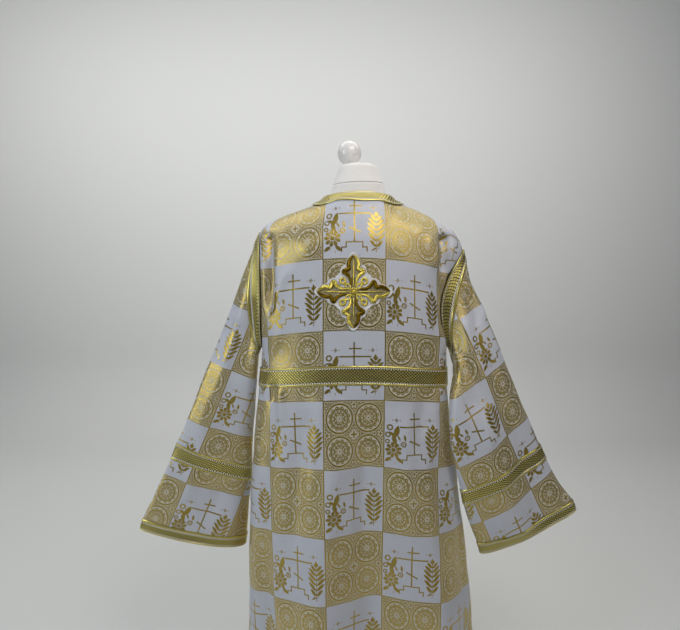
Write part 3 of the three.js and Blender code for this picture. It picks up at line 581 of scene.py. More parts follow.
def leafy_branch(x, y):
    side = abs(x - BRANCH_X)
    drop = y + side * LEAF_SLOPE
    rank = drop / LEAF_SPACE
    index = whole(rank)
    belly = (index * LEAF_SPACE - BELLY) / BELLY_REACH
    reach = most(BRANCH_WIDE * (1 - belly * belly), 0.5)
    share = side / reach
    leaves = abs(rank - index - 0.5) * LEAF_SPACE - 19 * share * (1 - share) - 0.7
    return most(most(leaves, most(side - reach, BRANCH_TOP - y)), drop - BRANCH_FOOT)


def flower(x, y):
    dx, dy = x - FLOWER[0], y - FLOWER[1]
    r, turn = length(dx, dy), angle_of(dy, dx)
    petals = abs(sine(turn * 4.5))
    gaps = either(abs(r - 6.4) - 0.7, most(petals - 0.2, 7.5 - r))
    return most(r - petals * 5.6 - 14.6, 0 - gaps)


def cross_square(x, y):
    """Where the gold shows: an eight-ended cross on steps, between a flower spray and a branch."""
    figures = [bar(x, y, *row) for row in CROSS_BARS]
    figures += [leaf(x, y, *row) for row in LEAVES] + [ring(x, y, *row) for row in CURLS]
    for cx, cy, half_long, half_thick, degrees in SLANTED_BARS:
        a, b = turned(x, y, cx, cy, degrees)
        figures.append(most(abs(a) - half_long, abs(b) - half_thick))
    steps = least(most(abs(x) - 19.5, 134 - y), most(abs(x) - 30, 146 - y))
    figures += [most(abs(steps) - 1.5, y - 157), leafy_branch(x, y), flower(x, y), disc(x, y, *BUD)]
    # a small four-leaved sprig in each upper corner
    mx, my = abs(abs(x) - SPRIG[0]), abs(y - SPRIG[1])
    sprig = most(mx, my) + least(mx, my) * 2.2 - 6.2
    figures += [most(sprig, 1.2 - most(mx, my)), disc(mx, my, 9.5, 0, 1.3)]
    return either(*figures) < 0


def roundel_square(x, y):
    """Where the gold shows: four roundels in a frame, drawn by white lines."""
    ax, ay = abs(x), abs(y * 0.8721 - CHECK_WIDE / 2)
    edge = most(ax, ay)
    dx, dy = ax - ROUNDEL, ay - ROUNDEL
    r, turn = length(dx, dy), angle_of(dy, dx)
    wave, petal = abs(sine(turn * 6)), abs(cosine(turn * 4))
    lines = either(
        abs(r - RIM) - 2.0, abs(wave * 5.2 - abs(r - CHAIN)) - 1.4,
        most(abs(r - CHAIN) - 2.2, 0.55 - wave), abs(r - HUB) - 1.3,
        abs(r - petal * 4.6 - 5.4) - 1.6, r - EYE)
    # scrolls between the roundels, kept clear of a small cross in the middle and on each side
    scroll = sine(ax * 0.5 + 1.6 * sine(ay * 0.34)) * sine(ay * 0.5 + 1.6 * sine(ax * 0.34))
    filler = most(abs(scroll) * 4 - 0.85, RIM_OUTSIDE - r)
    low, high = least(ax, ay), abs(edge - SIDE_CROSS)
    clear = least(ax + ay - 12.5, low + high - 7.5)
    small = either(bar(ax, ay, 0, 0, 1.8, 8), bar(ax, ay, 0, 0, 8, 1.8),
                   bar(low, high, 0, 0, 1.3, 5), bar(low, high, 0, 0, 5, 1.3))
    white = either(most(r - RIM_INSIDE, 0 - lines), most(filler, 0 - clear),
                   most(clear, 0 - small), abs(r - RIM_LINE) - 0.7)
    return either(most(white, edge - FRAME_EDGE), abs(edge - FRAME_LINE) - 0.6) > 0


def brocade_pattern():
    tree, (cloth, wide, high), out = new_group(
        "Brocade check",
        [("Cloth", "Vector"), ("Cell width", "Float", CHECK_WIDE * MM),
         ("Cell height", "Float", CHECK_HIGH * MM)],
        ["Gold", "Crowded"])
    u, v, _ = split(tree, cloth)
    across, up = u / wide, v / high
    column, row = whole(across), whole(up)
    x = (across - column) * CHECK_WIDE - CHECK_WIDE / 2
    y = (1 - (up - row)) * CHECK_HIGH
    odd = fraction((column + row) * 0.5) > 0.25
    gold = cross_square(x, y) * (1 - odd) + roundel_square(x, y) * odd
    # woven lines between the squares, dashed where they run across
    across_lines = most(abs(abs(y - 86) - 85.6) - 0.9, 0.05 - sine(x * 1.9))
    feed(tree, out, Gold=most(gold, either(74.0 - abs(x), across_lines) < 0), Crowded=odd)
    return tree


def weave_group():
    """Fine threads of a woven cloth: a height and a mask of small unevenness."""
    tree, (cloth, pitch, slant), out = new_group(
        "Threads", [("Cloth", "Vector"), ("Pitch", "Float", 0.0008), ("Slant", "Float", 0.0)],
        ["Height", "Uneven"])
    u, v, _ = split(tree, cloth)
    ridge = abs(fraction((v + u * slant) / pitch) - 0.5) * 2
    cross_thread = abs(fraction(u / pitch) - 0.5) * 2
    uneven = noise(tree, cloth, 260.0, 2.0, 0.55)
    feed(tree, out, Height=ridge * 0.7 + cross_thread * 0.3 + uneven * 0.6, Uneven=uneven)
    return tree


# Braid in millimetres: half of its edge cord, its stitches' row and pitch, where the net starts,
# and the size of the net's diamonds along and across
EDGE_CORD, STITCH_ROW, STITCH_PITCH, NET_START = 2.1, 5.7, 5.8, 7.0
NET_LONG, NET_WIDE, ROPE_PITCH = 8.4, 7.2, 3.6


def braid_pattern():
    """Gold braid: a cord along each edge, a row of pale stitches inside it, and a net between."""
    tree, (cloth, width), out = new_group(
        "Braid net", [("Cloth", "Vector"), ("Width", "Float", WIDE_BRAID * MM)],
        ["Thread", "Pale", "Height"])
    u, share, _ = split(tree, cloth)
    run, wide = u * 1000, width * 1000
    across = (share - 0.5) * wide
    from_edge = (0.5 - abs(share - 0.5)) * wide
    a = fraction(run / NET_LONG + across / NET_WIDE)
    b = fraction(run / NET_LONG - across / NET_WIDE)
    net = most(abs(a - 0.5), abs(b - 0.5)) * 2
    field = from_edge > NET_START
    cord_share = abs(from_edge - EDGE_CORD) / EDGE_CORD
    cord = cord_share < 1
    rope = abs(fraction(run / ROPE_PITCH + from_edge / 4.5) - 0.5) * 2
    cord_height = (1 - cord_share * cord_share) * 1.3 - (rope > 0.8) * 0.35
    along_stitch = abs(fraction(run / STITCH_PITCH) - 0.5) * STITCH_PITCH
    pale = most(abs(from_edge - STITCH_ROW) - 1.2, along_stitch - 1.9) < 0
    thread = most(most(field * (net < 0.72), cord * (rope < 0.8)), pale)
    height = most(field * (1 - net * net * net), most(cord * cord_height, pale))
    feed(tree, out, Thread=thread, Pale=pale, Height=height)
    return tree


BROCADE_CHECK, THREADS, BRAID_NET = brocade_pattern(), weave_group(), braid_pattern()


def use_group(tree, group, **given):
    node = tree.nodes.new("ShaderNodeGroup")
    node.node_tree = group
    for name, item in given.items():
        slot = node.inputs[name.replace("_", " ")]
        if isinstance(item, Value):
            tree.links.new(item.socket, slot)
        else:
            slot.default_value = item
    return {s.name: Value(tree, s) for s in node.outputs}


def new_material(name, **shader):
    """A material, its tree and its shader, with the shader's fixed values on its own sockets."""
    material = bpy.data.materials.new(name)
    material.use_nodes = True
    tree = material.node_tree
    node = tree.nodes["Principled BSDF"]
    for key, value in shader.items():
        node.inputs[key.replace("_", " ")].default_value = value
    return material, tree, node


def cloth_place(tree):
    node = tree.nodes.new("ShaderNodeUVMap")
    node.uv_map = "cloth"
    return Value(tree, node.outputs["UV"])


def object_place(tree):
    return Value(tree, tree.nodes.new("ShaderNodeTexCoord").outputs["Object"])


def bump(tree, shader, height, strength, distance):
    node = tree.nodes.new("ShaderNodeBump")
    node.inputs["Strength"].default_value = strength
    node.inputs["Distance"].default_value = distance
    tree.links.new(height.socket, node.inputs["Height"])
    tree.links.new(node.outputs["Normal"], shader.inputs["Normal"])


def brocade_material():
    material, tree, shader = new_material("White and gold brocade", Specular_IOR_Level=0.5)
    place = cloth_place(tree)
    check = use_group(tree, BROCADE_CHECK, Cloth=place)
    threads = use_group(tree, THREADS, Cloth=place, Pitch=0.0009, Slant=0.35)
    wide = noise(tree, place, 9.0, 3.0, 0.55)
    gold = check["Gold"]
    satin = mixed(tree, threads["Uneven"], (0.53, 0.555, 0.625), (0.62, 0.64, 0.70))
    satin = mixed(tree, check["Crowded"], satin, (0.62, 0.575, 0.44))
    warm = mixed(tree, wide, (0.33, 0.225, 0.035), (0.68, 0.53, 0.14))
    feed(tree, shader, Base_Color=mixed(tree, gold, satin, warm), Metallic=gold * 0.84 + 0.08,
         Roughness=0.50 - gold * 0.22 + threads["Uneven"] * 0.08)
    bump(tree, shader, threads["Height"] + gold * 0.5, 0.25, 0.0006)
    return material


def lining_material():
    material, tree, shader = new_material("Plain white lining", Specular_IOR_Level=0.4)
    place = cloth_place(tree)
    threads = use_group(tree, THREADS, Cloth=place, Pitch=0.0006, Slant=0.0)
    colour = mixed(tree, threads["Uneven"], (0.72, 0.71, 0.69), (0.80, 0.79, 0.77))
    feed(tree, shader, Base_Color=colour, Roughness=0.45 + threads["Uneven"] * 0.15)
    bump(tree, shader, threads["Height"], 0.2, 0.0004)
    return material


def braid_material(name, width):
    material, tree, shader = new_material(name)
    place = cloth_place(tree)
    net = use_group(tree, BRAID_NET, Cloth=place, Width=width * MM)
    wide = noise(tree, place, 30.0, 3.0, 0.6)
    gold = mixed(tree, wide, (0.72, 0.60, 0.14), (0.94, 0.83, 0.28))
    # the near-black between the threads is painted shade in the gaps of the net and beside the
    # cords
    colour = mixed(tree, net["Thread"], (0.022, 0.016, 0.005), gold)
    colour = mixed(tree, net["Pale"], colour, (0.84, 0.83, 0.76))
    feed(tree, shader, Base_Color=colour, Metallic=net["Thread"] * (1 - net["Pale"]) * 0.95,
         Roughness=0.5 - net["Thread"] * 0.18 + wide * 0.06)
    bump(tree, shader, net["Height"], 0.55, 0.0009)
    return material


def ground_material():
    """White satin of the cross, with a glittering net inside its arms."""
    material, tree, shader = new_material("Cross ground", Specular_IOR_Level=0.5)
    x, _, z = split(tree, object_place(tree))
    x, z = abs(x * 1000 - CROSS[0]), abs(z * 1000 - CROSS[1])
    along, across = most(x, z), least(x, z)
    # the net fills each arm, which is widest at its flare and again at its head
    flare, head = (along - 46) / 8, (along - 66) / 17
    half = 4.6 + most(0, 1 - flare * flare) * 14 + most(0, 1 - head * head) * 8
    inside = (across < half) * (along < 84) * (along > 10)
    net = (abs(fraction(x / 1.7) - 0.5) + abs(fraction(z / 1.7) - 0.5)) > 0.52
    stitch = (across < 0.9) * (fraction(along / 4.2) < 0.7) * (along > 16) * (along < 80)
    gold = most(inside * net * 0.75, stitch)
    uneven = noise(tree, object_place(tree), 900.0, 2.0, 0.6)
    satin = mixed(tree, uneven, (0.78, 0.78, 0.79), (0.88, 0.88, 0.89))
    grey = mixed(tree, inside, satin, (0.30, 0.28, 0.20))
    feed(tree, shader, Base_Color=mixed(tree, gold, grey, (0.72, 0.56, 0.16)), Metallic=gold * 0.9,
         Roughness=0.48 - gold * 0.1 + uneven * 0.06)
    bump(tree, shader, uneven + net * inside * 0.6 + stitch, 0.3, 0.0006)
    return material


def cord_material():
    """Gold thread laid side by side over padding."""
    material, tree, shader = new_material("Gold embroidery")
    place = cloth_place(tree)
    u, v, _ = split(tree, place)
    flank = least(abs(v - 0.25) * 4, 1)
    lay = fraction((u + v * 0.0012) * 1000 / 0.75)
    thread = abs(lay - 0.5) * 2
    uneven = noise(tree, place, 55.0, 3.0, 0.65)
    # painted shade in the grooves beside the cord and a painted highlight on top of it, varied at
    # random
    lit = (1 - flank * flank) * (uneven + 0.35)
    colour = mixed(tree, lit, (0.16, 0.10, 0.006), (0.88, 0.72, 0.14))
    feed(tree, shader, Base_Color=colour, Metallic=0.9 + uneven * 0.1,
         Roughness=0.20 + thread * 0.1 + uneven * 0.08)
    bump(tree, shader, 1 - thread * thread, 0.45, 0.0006)
    return material


def jersey_material():
    material, tree, shader = new_material(
        "White jersey cover", Specular_IOR_Level=0.35, Sheen_Weight=0.25)
    place = object_place(tree)
    x, y, z = split(tree, place)
    wale = abs(fraction(angle_of(y, x) * 34) - 0.5) * 2
    course = abs(fraction(z * 700) - 0.5) * 2
    uneven = noise(tree, place, 40.0, 4.0, 0.6)
    feed(tree, shader, Base_Color=mixed(tree, uneven, (0.86, 0.84, 0.815), (0.92, 0.905, 0.885)),
         Roughness=0.72 + uneven * 0.15)
    bump(tree, shader, wale * 0.6 + course * 0.4 + uneven, 0.25, 0.0006)
    return material


def paint_material():
    material, tree, shader = new_material(
        "White gloss paint", Coat_Weight=0.6, Coat_Roughness=0.08)
    place = object_place(tree)
    cloudy = noise(tree, place, 26.0, 4.0, 0.6)
    fine = noise(tree, place, 420.0, 2.0, 0.5)
    feed(tree, shader, Base_Color=mixed(tree, cloudy, (0.80, 0.785, 0.77), (0.90, 0.885, 0.87)),
         Roughness=0.20 + cloudy * 0.14 + fine * 0.04)
    bump(tree, shader, cloudy + fine * 0.2, 0.08, 0.0008)
    return material


# the middle of the cross, and how far its ground and its cords lie off the cloth's outside
CROSS, GROUND_LIFT, CORD_LIFT = (-14.0, 1261.0), 2.2, 2.3
BROCADE, LINING = brocade_material(), lining_material()
WIDE_MATERIAL = braid_material("Wide gold braid", WIDE_BRAID)
EDGE_MATERIAL = braid_material("Narrow gold braid", EDGE_BRAID)
GROUND, GOLD_CORD = ground_material(), cord_material()
JERSEY, PAINT = jersey_material(), paint_material()


def dress(obj, node):
    """Puts a finished piece in the place of a solid of the frame."""
    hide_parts(node)
    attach(obj, "root")
    return obj


# The two panels
COLUMNS = {"back": across_panel(38, 56), "front": across_panel(26, 38)}
HEIGHTS = {
    "back": even_steps((HEM, BAND_LOW, 112), (BAND_LOW, BAND_HIGH, 9), (BAND_HIGH, PIT, 9)),
    "front": even_steps((HEM, BAND_LOW, 76), (BAND_LOW, BAND_HIGH, 7), (BAND_HIGH, PIT, 7)),
}
RISES = {"back": 60, "front": 42}
CREASES = {"back": BACK_CREASES, "front": FRONT_CREASES}
# where the check starts on each panel, from its middle and from the band
PHASE = {"back": (88.0, -285.0), "front": (75.0, -285.0)}
SEAM_GAP = 0.15
# how wide the smoothing reaches in rows and columns, how strong each pass is, and how many
PIT_REACH, NECK_REACH, PASS_SHARE, PASSES = 9.0, 4.5, 0.7, 40
# how far from the sides, as a share, and from the top, in millimetres, the creases fade out
SIDE_FADE, TOP_FADE = 0.05, 12


def panel_points(panel):
    """A panel before its creases, in rows from the hem to the armpits and on to the top."""
    u, heights, count = COLUMNS[panel][None, :], HEIGHTS[panel], RISES[panel] + 1
    low = lower_point(panel, np.broadcast_to(u, (len(heights), u.shape[1])), heights[:, None])
    rise = (1 - np.cos(np.linspace(0, math.pi, count))) * 0.5
    rise = rise * 0.55 + np.linspace(0, 1, count) * 0.45
    high = upper_point(panel, np.broadcast_to(u, (count, u.shape[1])), rise[:, None])
    return np.concatenate([low, high])


def fade_edges(points, moved, panel):
    """Keeps the seams and the neckline where the other pieces meet them."""
    side = ease((1 - np.abs(COLUMNS[panel])[None, :, None]) / SIDE_FADE)
    top = ease(np.linalg.norm(points - points[-1:], axis=-1)[..., None] / TOP_FADE)
    return points + (moved - points) * side * top


def eased(points, panel):
    """Rounds off the surface at the armpits and below each end of the neckline."""
    count, columns = points.shape[:2]
    low = len(HEIGHTS[panel])
    row, column = np.arange(count)[:, None], np.arange(columns)[None, :]
    near_pit = bell(row - low, PIT_REACH) * (column > 1) * (column < columns - 2)
    ends = (-place_of("left", NECK_HALF), place_of("right", NECK_HALF))
    corners = [int(np.argmin(np.abs(COLUMNS[panel] - end))) for end in ends]
    near_neck = sum(bell(column - corner, NECK_REACH) for corner in corners)
    near_neck = np.clip(near_neck * ease((count - 2.0 - row) / 6.0) * (row > low), 0, 1)
    for _ in range(PASSES):
        along, across = points.copy(), points.copy()
        along[1:-1] = (points[:-2] + points[2:]) / 2
        across[:, 1:-1] = (points[:, :-2] + points[:, 2:]) / 2
        points = points + PASS_SHARE * near_pit[..., None] * (along - points)
        points[..., 1:] += PASS_SHARE * near_neck[..., None] * (across - points)[..., 1:]
    return points


SURFACE, OUTWARDS = {}, {}
for panel in ("back", "front"):
    flip = panel == "front"
    flat_points = eased(panel_points(panel), panel)
    outwards = normals_of(flat_points, flip=flip)
    moved = creased(flat_points, outwards, CREASES[panel], front=flip, flow=1.0 if flip else 0.0)
    points = fade_edges(flat_points, moved, panel)
    SURFACE[panel], OUTWARDS[panel] = points, normals_of(points, flip=flip)
    middle = int(np.argmin(np.abs(COLUMNS[panel])))
    band_row = int(np.argmin(np.abs(HEIGHTS[panel] - BAND_MIDDLE)))
    u_place, v_place = run_along(flat_points, 1), run_along(flat_points, 0)
    u_place = (u_place - u_place[:, middle:middle + 1]) * (-1 if flip else 1)
    v_place = v_place - v_place[band_row:band_row + 1]
    places = np.stack([u_place + PHASE[panel][0], v_place + PHASE[panel][1]], -1) * MM
    edge = points.copy()
    edge[:, [0, -1], 1] += facing(panel) * SEAM_GAP
    piece = cloth_grid(f"robe_{panel}", edge, places, flip=flip)
    finish_sheet(piece, CLOTH, [BROCADE, LINING])
    dress(piece, f"{panel}_panel")


def search_tree(points):
    """A panel's outside, ready to be met by straight lines."""
    rows, columns = points.shape[:2]
    corners = [i * columns + j for i in range(rows - 1) for j in range(columns - 1)]
    faces = [(k, k + 1, k + columns + 1, k + columns) for k in corners]
    return BVHTree.FromPolygons(points.reshape(-1, 3).tolist(), faces)


SEARCH = {panel: search_tree(points) for panel, points in SURFACE.items()}


def yoke_y(x, z):
    """How far back the outside of the back lies at a spot, in millimetres."""
    hit = SEARCH["back"].ray_cast(Vector((x, -400, z)), Vector((0, 1, 0)))
    return hit[0].y


def top_z(x, y):
    """The height of the robe at a spot seen from above, or None beside it."""
    hit = SEARCH["back" if y < 0 else "front"].ray_cast(Vector((x, y, 1700)), Vector((0, 0, -1)))
    return hit[0].z if hit[0] else None


# Braid: rows across it, the cord along each edge, and how its rim rounds off, in millimetres
BRAID_ROWS = {WIDE_BRAID: 25, EDGE_BRAID: 19}
CORD_PLACE, CORD_WIDE, CORD_HIGH = 2.4, 1.6, 0.6
ROUNDING_WIDE, ROUNDING_DEEP = 1.1, 0.55


def braid_strip(name, rows, outwards, width, material, closed=False, flip=False, lift=0.9):
    """Braid on rows of points across its width, with a raised cord along both edges."""
    share = np.linspace(0, 1, len(rows))
    from_edge = (0.5 - np.abs(share - 0.5)) * width
    relief = (CORD_HIGH * bell(from_edge - CORD_PLACE, CORD_WIDE)
              - ROUNDING_DEEP * bell(from_edge, ROUNDING_WIDE))
    points = rows + outwards * (lift + BRAID + relief)[:, None, None]
    run = run_along(np.concatenate([points, points[:, :1]], 1) if closed else points, 1)
    run = np.broadcast_to(run.mean(0), run.shape)
    places = np.stack([run * MM, np.broadcast_to(share[:, None], run.shape)], -1)
    piece = cloth_grid(name, points, places, closed=closed, flip=flip)
    return finish_sheet(piece, BRAID, [material])


def between(points, table, low, high, count):
    """Rows of a piece's own surface between two of its own places, straight between its rows."""
    at = low + (high - low) * np.linspace(0, 1, count)
    i = np.clip(np.searchsorted(table, at) - 1, 0, len(table) - 2)
    t = ((at - table[i]) / (table[i + 1] - table[i]))[:, None, None]
    return points[i] * (1 - t) + points[i + 1] * t


for panel in ("back", "front"):
    table = np.append(HEIGHTS[panel], PIT)
    rows, outwards = (
        between(values[panel][:len(table)], table, BAND_LOW, BAND_HIGH, BRAID_ROWS[WIDE_BRAID])
        for values in (SURFACE, OUTWARDS))
    piece = braid_strip(
        f"braid_{panel}", rows, outwards, WIDE_BRAID, WIDE_MATERIAL, flip=panel == "front")
    dress(piece, f"band_{panel}")


def hem_rows(values):
    """Rows of the hem's braid: over the back, and round the front to where the back starts."""
    back, front = (
        between(values[p], HEIGHTS[p], HEM, HEM + EDGE_BRAID, BRAID_ROWS[EDGE_BRAID])
        for p in ("back", "front"))
    return np.concatenate([back[:, :-1], front[:, :0:-1]], 1)


low_part = {p: SURFACE[p][:len(HEIGHTS[p])] for p in SURFACE}
low_out = {p: OUTWARDS[p][:len(HEIGHTS[p])].copy() for p in OUTWARDS}
for end in (0, -1):
    shared = low_out["back"][:, end][:1] + low_out["front"][:, end][:1]
    for p in low_out:
        low_out[p][:, end] = shared / np.linalg.norm(shared)
piece = braid_strip(
    "braid_hem", hem_rows(low_part), hem_rows(low_out), EDGE_BRAID, EDGE_MATERIAL, closed=True)
dress(piece, "hem_braid")

# The braid round the neckline: its columns, its width seen from above and what that loses at the
# back and front, the share of it that lies over the opening, and how far it stands off
NECK_SIDES, NECK_SEEN, NECK_LOSS, NECK_OPEN, NECK_LIFT = 192, 0.85, 0.17, 0.08, 1.6
turns = np.linspace(0, 2 * math.pi, NECK_SIDES, endpoint=False)
neck_rows = []
for share in np.linspace(0, 1, BRAID_ROWS[EDGE_BRAID]):
    row = []
    for turn in turns:
        c, s = math.cos(turn), math.sin(turn)
        depth, height = NECK["back" if s < 0 else "front"]
        sideways = EDGE_BRAID * share * (NECK_SEEN - NECK_LOSS * abs(s))
        x, y = (NECK_HALF + sideways) * c, (depth + sideways) * s
        edge_z = NECK_SIDE + (height - NECK_SIDE) * abs(s) ** NECK_RISE
        found = top_z(x, y) if share > NECK_OPEN else None
        row.append((x, y, found if found is not None else edge_z - 6 * share))
    neck_rows.append(row)
neck_rows = np.array(neck_rows)[::-1]
for _ in range(2):
    heights = neck_rows[..., 2]
    heights[1:-1] = (heights[:-2] + 2 * heights[1:-1] + heights[2:]) / 4
    neck_rows[..., 2] = (np.roll(heights, 1, 1) + 2 * heights + np.roll(heights, -1, 1)) / 4
piece = braid_strip("braid_neck", neck_rows, normals_of(neck_rows, closed=True), EDGE_BRAID,
                    EDGE_MATERIAL, closed=True, lift=NECK_LIFT)
dress(piece, "neck_braid")

# The sleeves. The check runs along them, and is laid on each from the way that its back faces.
SLEEVE_SIDES = 112
RING_SPREAD = {"left": 0.85, "right": 0.35}
# cloth place across and along = first * x + second * z + third
SLEEVE_WEAVE = {
    "left": ((0.8733, -0.3674, 674.9), (0.3531, 0.9536, -1052.1)),
    "right": ((0.8397, 0.3926, -530.5), (-0.5179, 0.9058, -945.4)),
}
AT = np.append(even_steps((0, 1, 9), (1, 6, 56), (6, 7, 11), (7, 9, 20), (9, 10, 8)), 10)


def sleeve_places(side, points):
    """Cloth places of a sleeve whose rows go from its inner fold over the front and back to it."""
    ring = np.concatenate([points, points[:, :1]], 1)
    weave = SLEEVE_WEAVE[side]
    across, along = (a * ring[..., 0] + b * ring[..., 2] + c for a, b, c in weave)
    inwards = 1 if side == "left" else -1
    step = np.linalg.norm(np.diff(ring, axis=1), axis=-1)
    step -= np.linalg.norm(np.diff(ring[..., [0, 2]], axis=1), axis=-1)
    fold = SLEEVE_SIDES // 2
    start = np.zeros((len(ring), 1))
    back = np.concatenate([start, np.cumsum(step[:, fold:], 1)], 1)
    front = np.concatenate([np.cumsum(step[:, :fold][:, ::-1], 1)[:, ::-1], start], 1)
    middle = back[:, fold // 2:fold // 2 + 1]
    order = np.argsort(along[:, fold])
    edge = np.interp(along[:, :fold + 1], along[order, fold], across[order, fold])
    u = across.copy()
    u[:, fold:] += inwards * (back - middle)
    u[:, :fold + 1] = 2 * edge - across[:, :fold + 1] - inwards * (middle + front)
    return np.stack([u, along], -1) * MM


for side in ("left", "right"):
    turn = 180 + np.linspace(0, 360, SLEEVE_SIDES, endpoint=False)[None, :]
    near = np.where(AT < 1, AT, 1 - ease((AT - 1) / 2))[:, None]
    wavy = AT[:, None] + RING_SPREAD[side] * near * np.sin(np.radians(turn)) ** 2
    flat_points = sleeve_point(side, wavy, turn)
    flip = side == "left"
    outwards = normals_of(flat_points, closed=True, flip=flip)
    moved = creased(flat_points, outwards, SLEEVE_CREASES[side], flow=2.0)
    hold = ease(AT / 0.8)[:, None, None] * ease((10.4 - AT) / 0.8)[:, None, None]
    points = flat_points + (moved - flat_points) * hold
    outwards = normals_of(points, closed=True, flip=flip)
    places = sleeve_places(side, flat_points)
    piece = cloth_grid(f"robe_sleeve_{side}", points, places, closed=True, flip=flip)
    finish_sheet(piece, CLOTH, [BROCADE, LINING])
    dress(piece, f"sleeve_{side}")
    for low, high, name, node, width, material, lift in (
        (0, 1, f"braid_armhole_{side}", f"armhole_braid_{side}", EDGE_BRAID, EDGE_MATERIAL, 1.0),
        (6, 7, f"braid_sleeve_{side}", f"sleeve_band_{side}", WIDE_BRAID, WIDE_MATERIAL, 0.9),
        (9, 10, f"braid_cuff_{side}", f"cuff_braid_{side}", EDGE_BRAID, EDGE_MATERIAL, 0.9),
    ):
        rows, away = (
            between(values, AT, low, high, BRAID_ROWS[width]) for values in (points, outwards))
        strip = braid_strip(name, rows, away, width, material, closed=True, flip=flip, lift=lift)
        dress(strip, node)

# The cross on the back: the outline of a quarter of it, as degrees from an arm and reach
CROSS_EDGE = [
    (0, 94), (3, 92), (6, 88.5), (9, 82.5), (12, 75.5), (15, 70), (17, 67), (20, 66), (24, 65.5),
    (28, 63), (31, 60), (34, 57), (37, 55), (40, 54.2), (45, 55.5),
]


def cross_ground():
    """The pale satin under the cross: flat in the middle, with a padded rim along its outline."""
    turns = np.linspace(0, 360, 240, endpoint=False)
    from_arm = np.abs((turns + 45) % 90 - 45)
    reach = read(CROSS_EDGE, from_arm)[0]
    shares = np.array([0.02, 0.15, 0.3, 0.45, 0.6, 0.75, 0.88])
    rows = [reach * s for s in shares]
    rows += [reach - inwards for inwards in (4.2, 3.2, 2.2, 1.2, 0.35, 0)]
    lifts = [0] * len(shares) + [0, 0.55, 0.85, 0.85, 0.45, -0.3]
    points = np.zeros((len(rows), len(turns), 3))
    for i, (row, lift) in enumerate(zip(rows, lifts)):
        across = CROSS[0] + row * np.cos(np.radians(turns))
        up = CROSS[1] + row * np.sin(np.radians(turns))
        for j, (x, z) in enumerate(zip(across, up)):
            points[i, j] = (x, yoke_y(x, z) - GROUND_LIFT - lift, z)
    places = np.zeros((len(rows), len(turns) + 1, 2))
    piece = cloth_grid("cross_white_ground", points, places, closed=True, flip=True)
    mesh = bmesh.new()
    mesh.from_mesh(piece.data)
    mesh.verts.ensure_lookup_table()
    mesh.faces.new([mesh.verts[j] for j in range(len(turns))])
    bmesh.ops.recalc_face_normals(mesh, faces=mesh.faces)
    if sum((f.normal.y * f.calc_area() for f in mesh.faces)) > 0:
        bmesh.ops.reverse_faces(mesh, faces=mesh.faces)
    mesh.to_mesh(piece.data)
    mesh.free()
    return finish_sheet(piece, 1.6, [GROUND])


CORD_SIDES = 14


def laid_cord(spots, width, high, start_width=None, closed=False, smooth=14):
    """A padded cord through spots in the cross's own plane, swept from a rounded profile."""
    spots = np.array(spots, float)
    if closed:
        ends = np.concatenate([spots[-1:], spots, spots[:2]])
    else:
        ends = np.concatenate([2 * spots[:1] - spots[1:2], spots, 2 * spots[-1:] - spots[-2:-1]])
    line = []
    for k in range(1, len(ends) - 2):
        p0, p1, p2, p3 = ends[k - 1:k + 3]
        for t in np.linspace(0, 1, smooth, endpoint=False):
            line.append(0.5 * (2 * p1 + (p2 - p0) * t + (2 * p0 - 5 * p1 + 4 * p2 - p3) * t**2
                               + (3 * p1 - p0 - 3 * p2 + p3) * t**3))
    if not closed:
        line.append(spots[-1])
    line = np.array(line)
    ahead = np.roll(line, -1, 0) - np.roll(line, 1, 0)
    if not closed:
        ahead[0], ahead[-1] = line[1] - line[0], line[-1] - line[-2]
    ahead /= np.linalg.norm(ahead, axis=1, keepdims=True) + 1e-9
    beside = np.stack([-ahead[:, 1], ahead[:, 0]], 1)
    half = np.full(len(line), width / 2)
    if not closed:
        share = np.linspace(0, 1, len(line))
        taper = np.clip(np.sin(math.pi * np.clip(share, 0.02, 0.98)) * 2.4, 0, 1)
        half = half * (0.35 + 0.65 * taper)
        if start_width:
            half = half * (start_width + (1 - start_width) * ease(share / 0.35))
    points = np.zeros((len(line), CORD_SIDES, 3))
    for j in range(CORD_SIDES):
        turn = 2 * math.pi * j / CORD_SIDES
        c, s = math.cos(turn), math.sin(turn)
        flat = line + beside * (half * np.sign(c) * abs(c) ** 0.8)[:, None]
        points[:, j, 0], points[:, j, 2] = flat[:, 0], flat[:, 1]
        points[:, j, 1] = -(high / 2 + high / 2 * s) * (half / (width / 2))
    return points, closed


def four_times(points, closed):
    """The same cord on all four arms."""
    x, y, z = (points[..., k] for k in range(3))
    return [(np.stack([x * c - z * s, y, x * s + z * c], -1), closed)
            for c, s in ((1, 0), (0, 1), (-1, 0), (0, -1))]


def mirrored(points, closed):
    """The same cord on the other half of its arm."""
    other = points.copy()
    other[..., 0] *= -1
    return other[:, ::-1], closed


ARM = [
    (4.6, 7), (6.6, 14), (7, 24), (8.4, 31), (12.6, 38), (18.6, 43), (23.4, 46.2), (22, 50),
    (15.6, 52.6), (10.4, 55.6), (11.6, 60.5), (12, 67), (9.2, 74.5), (4.8, 81), (0.8, 86),
]
LOOP = [(6, 6), (9, 15.5), (15.5, 19), (21, 21)]
SPINE = [(12, 0), (30, 0.6), (50, 0), (72, 0)]
# middle of the ring between two arms, along both, and its radius
RING_MIDDLE, RING_RADIUS = 25.4, 6.2
KNOT, STRAND = 9.5, 8


def circle(count):
    turns = np.linspace(0, 2 * math.pi, count, endpoint=False)
    return [(math.cos(turn), math.sin(turn), turn) for turn in turns]


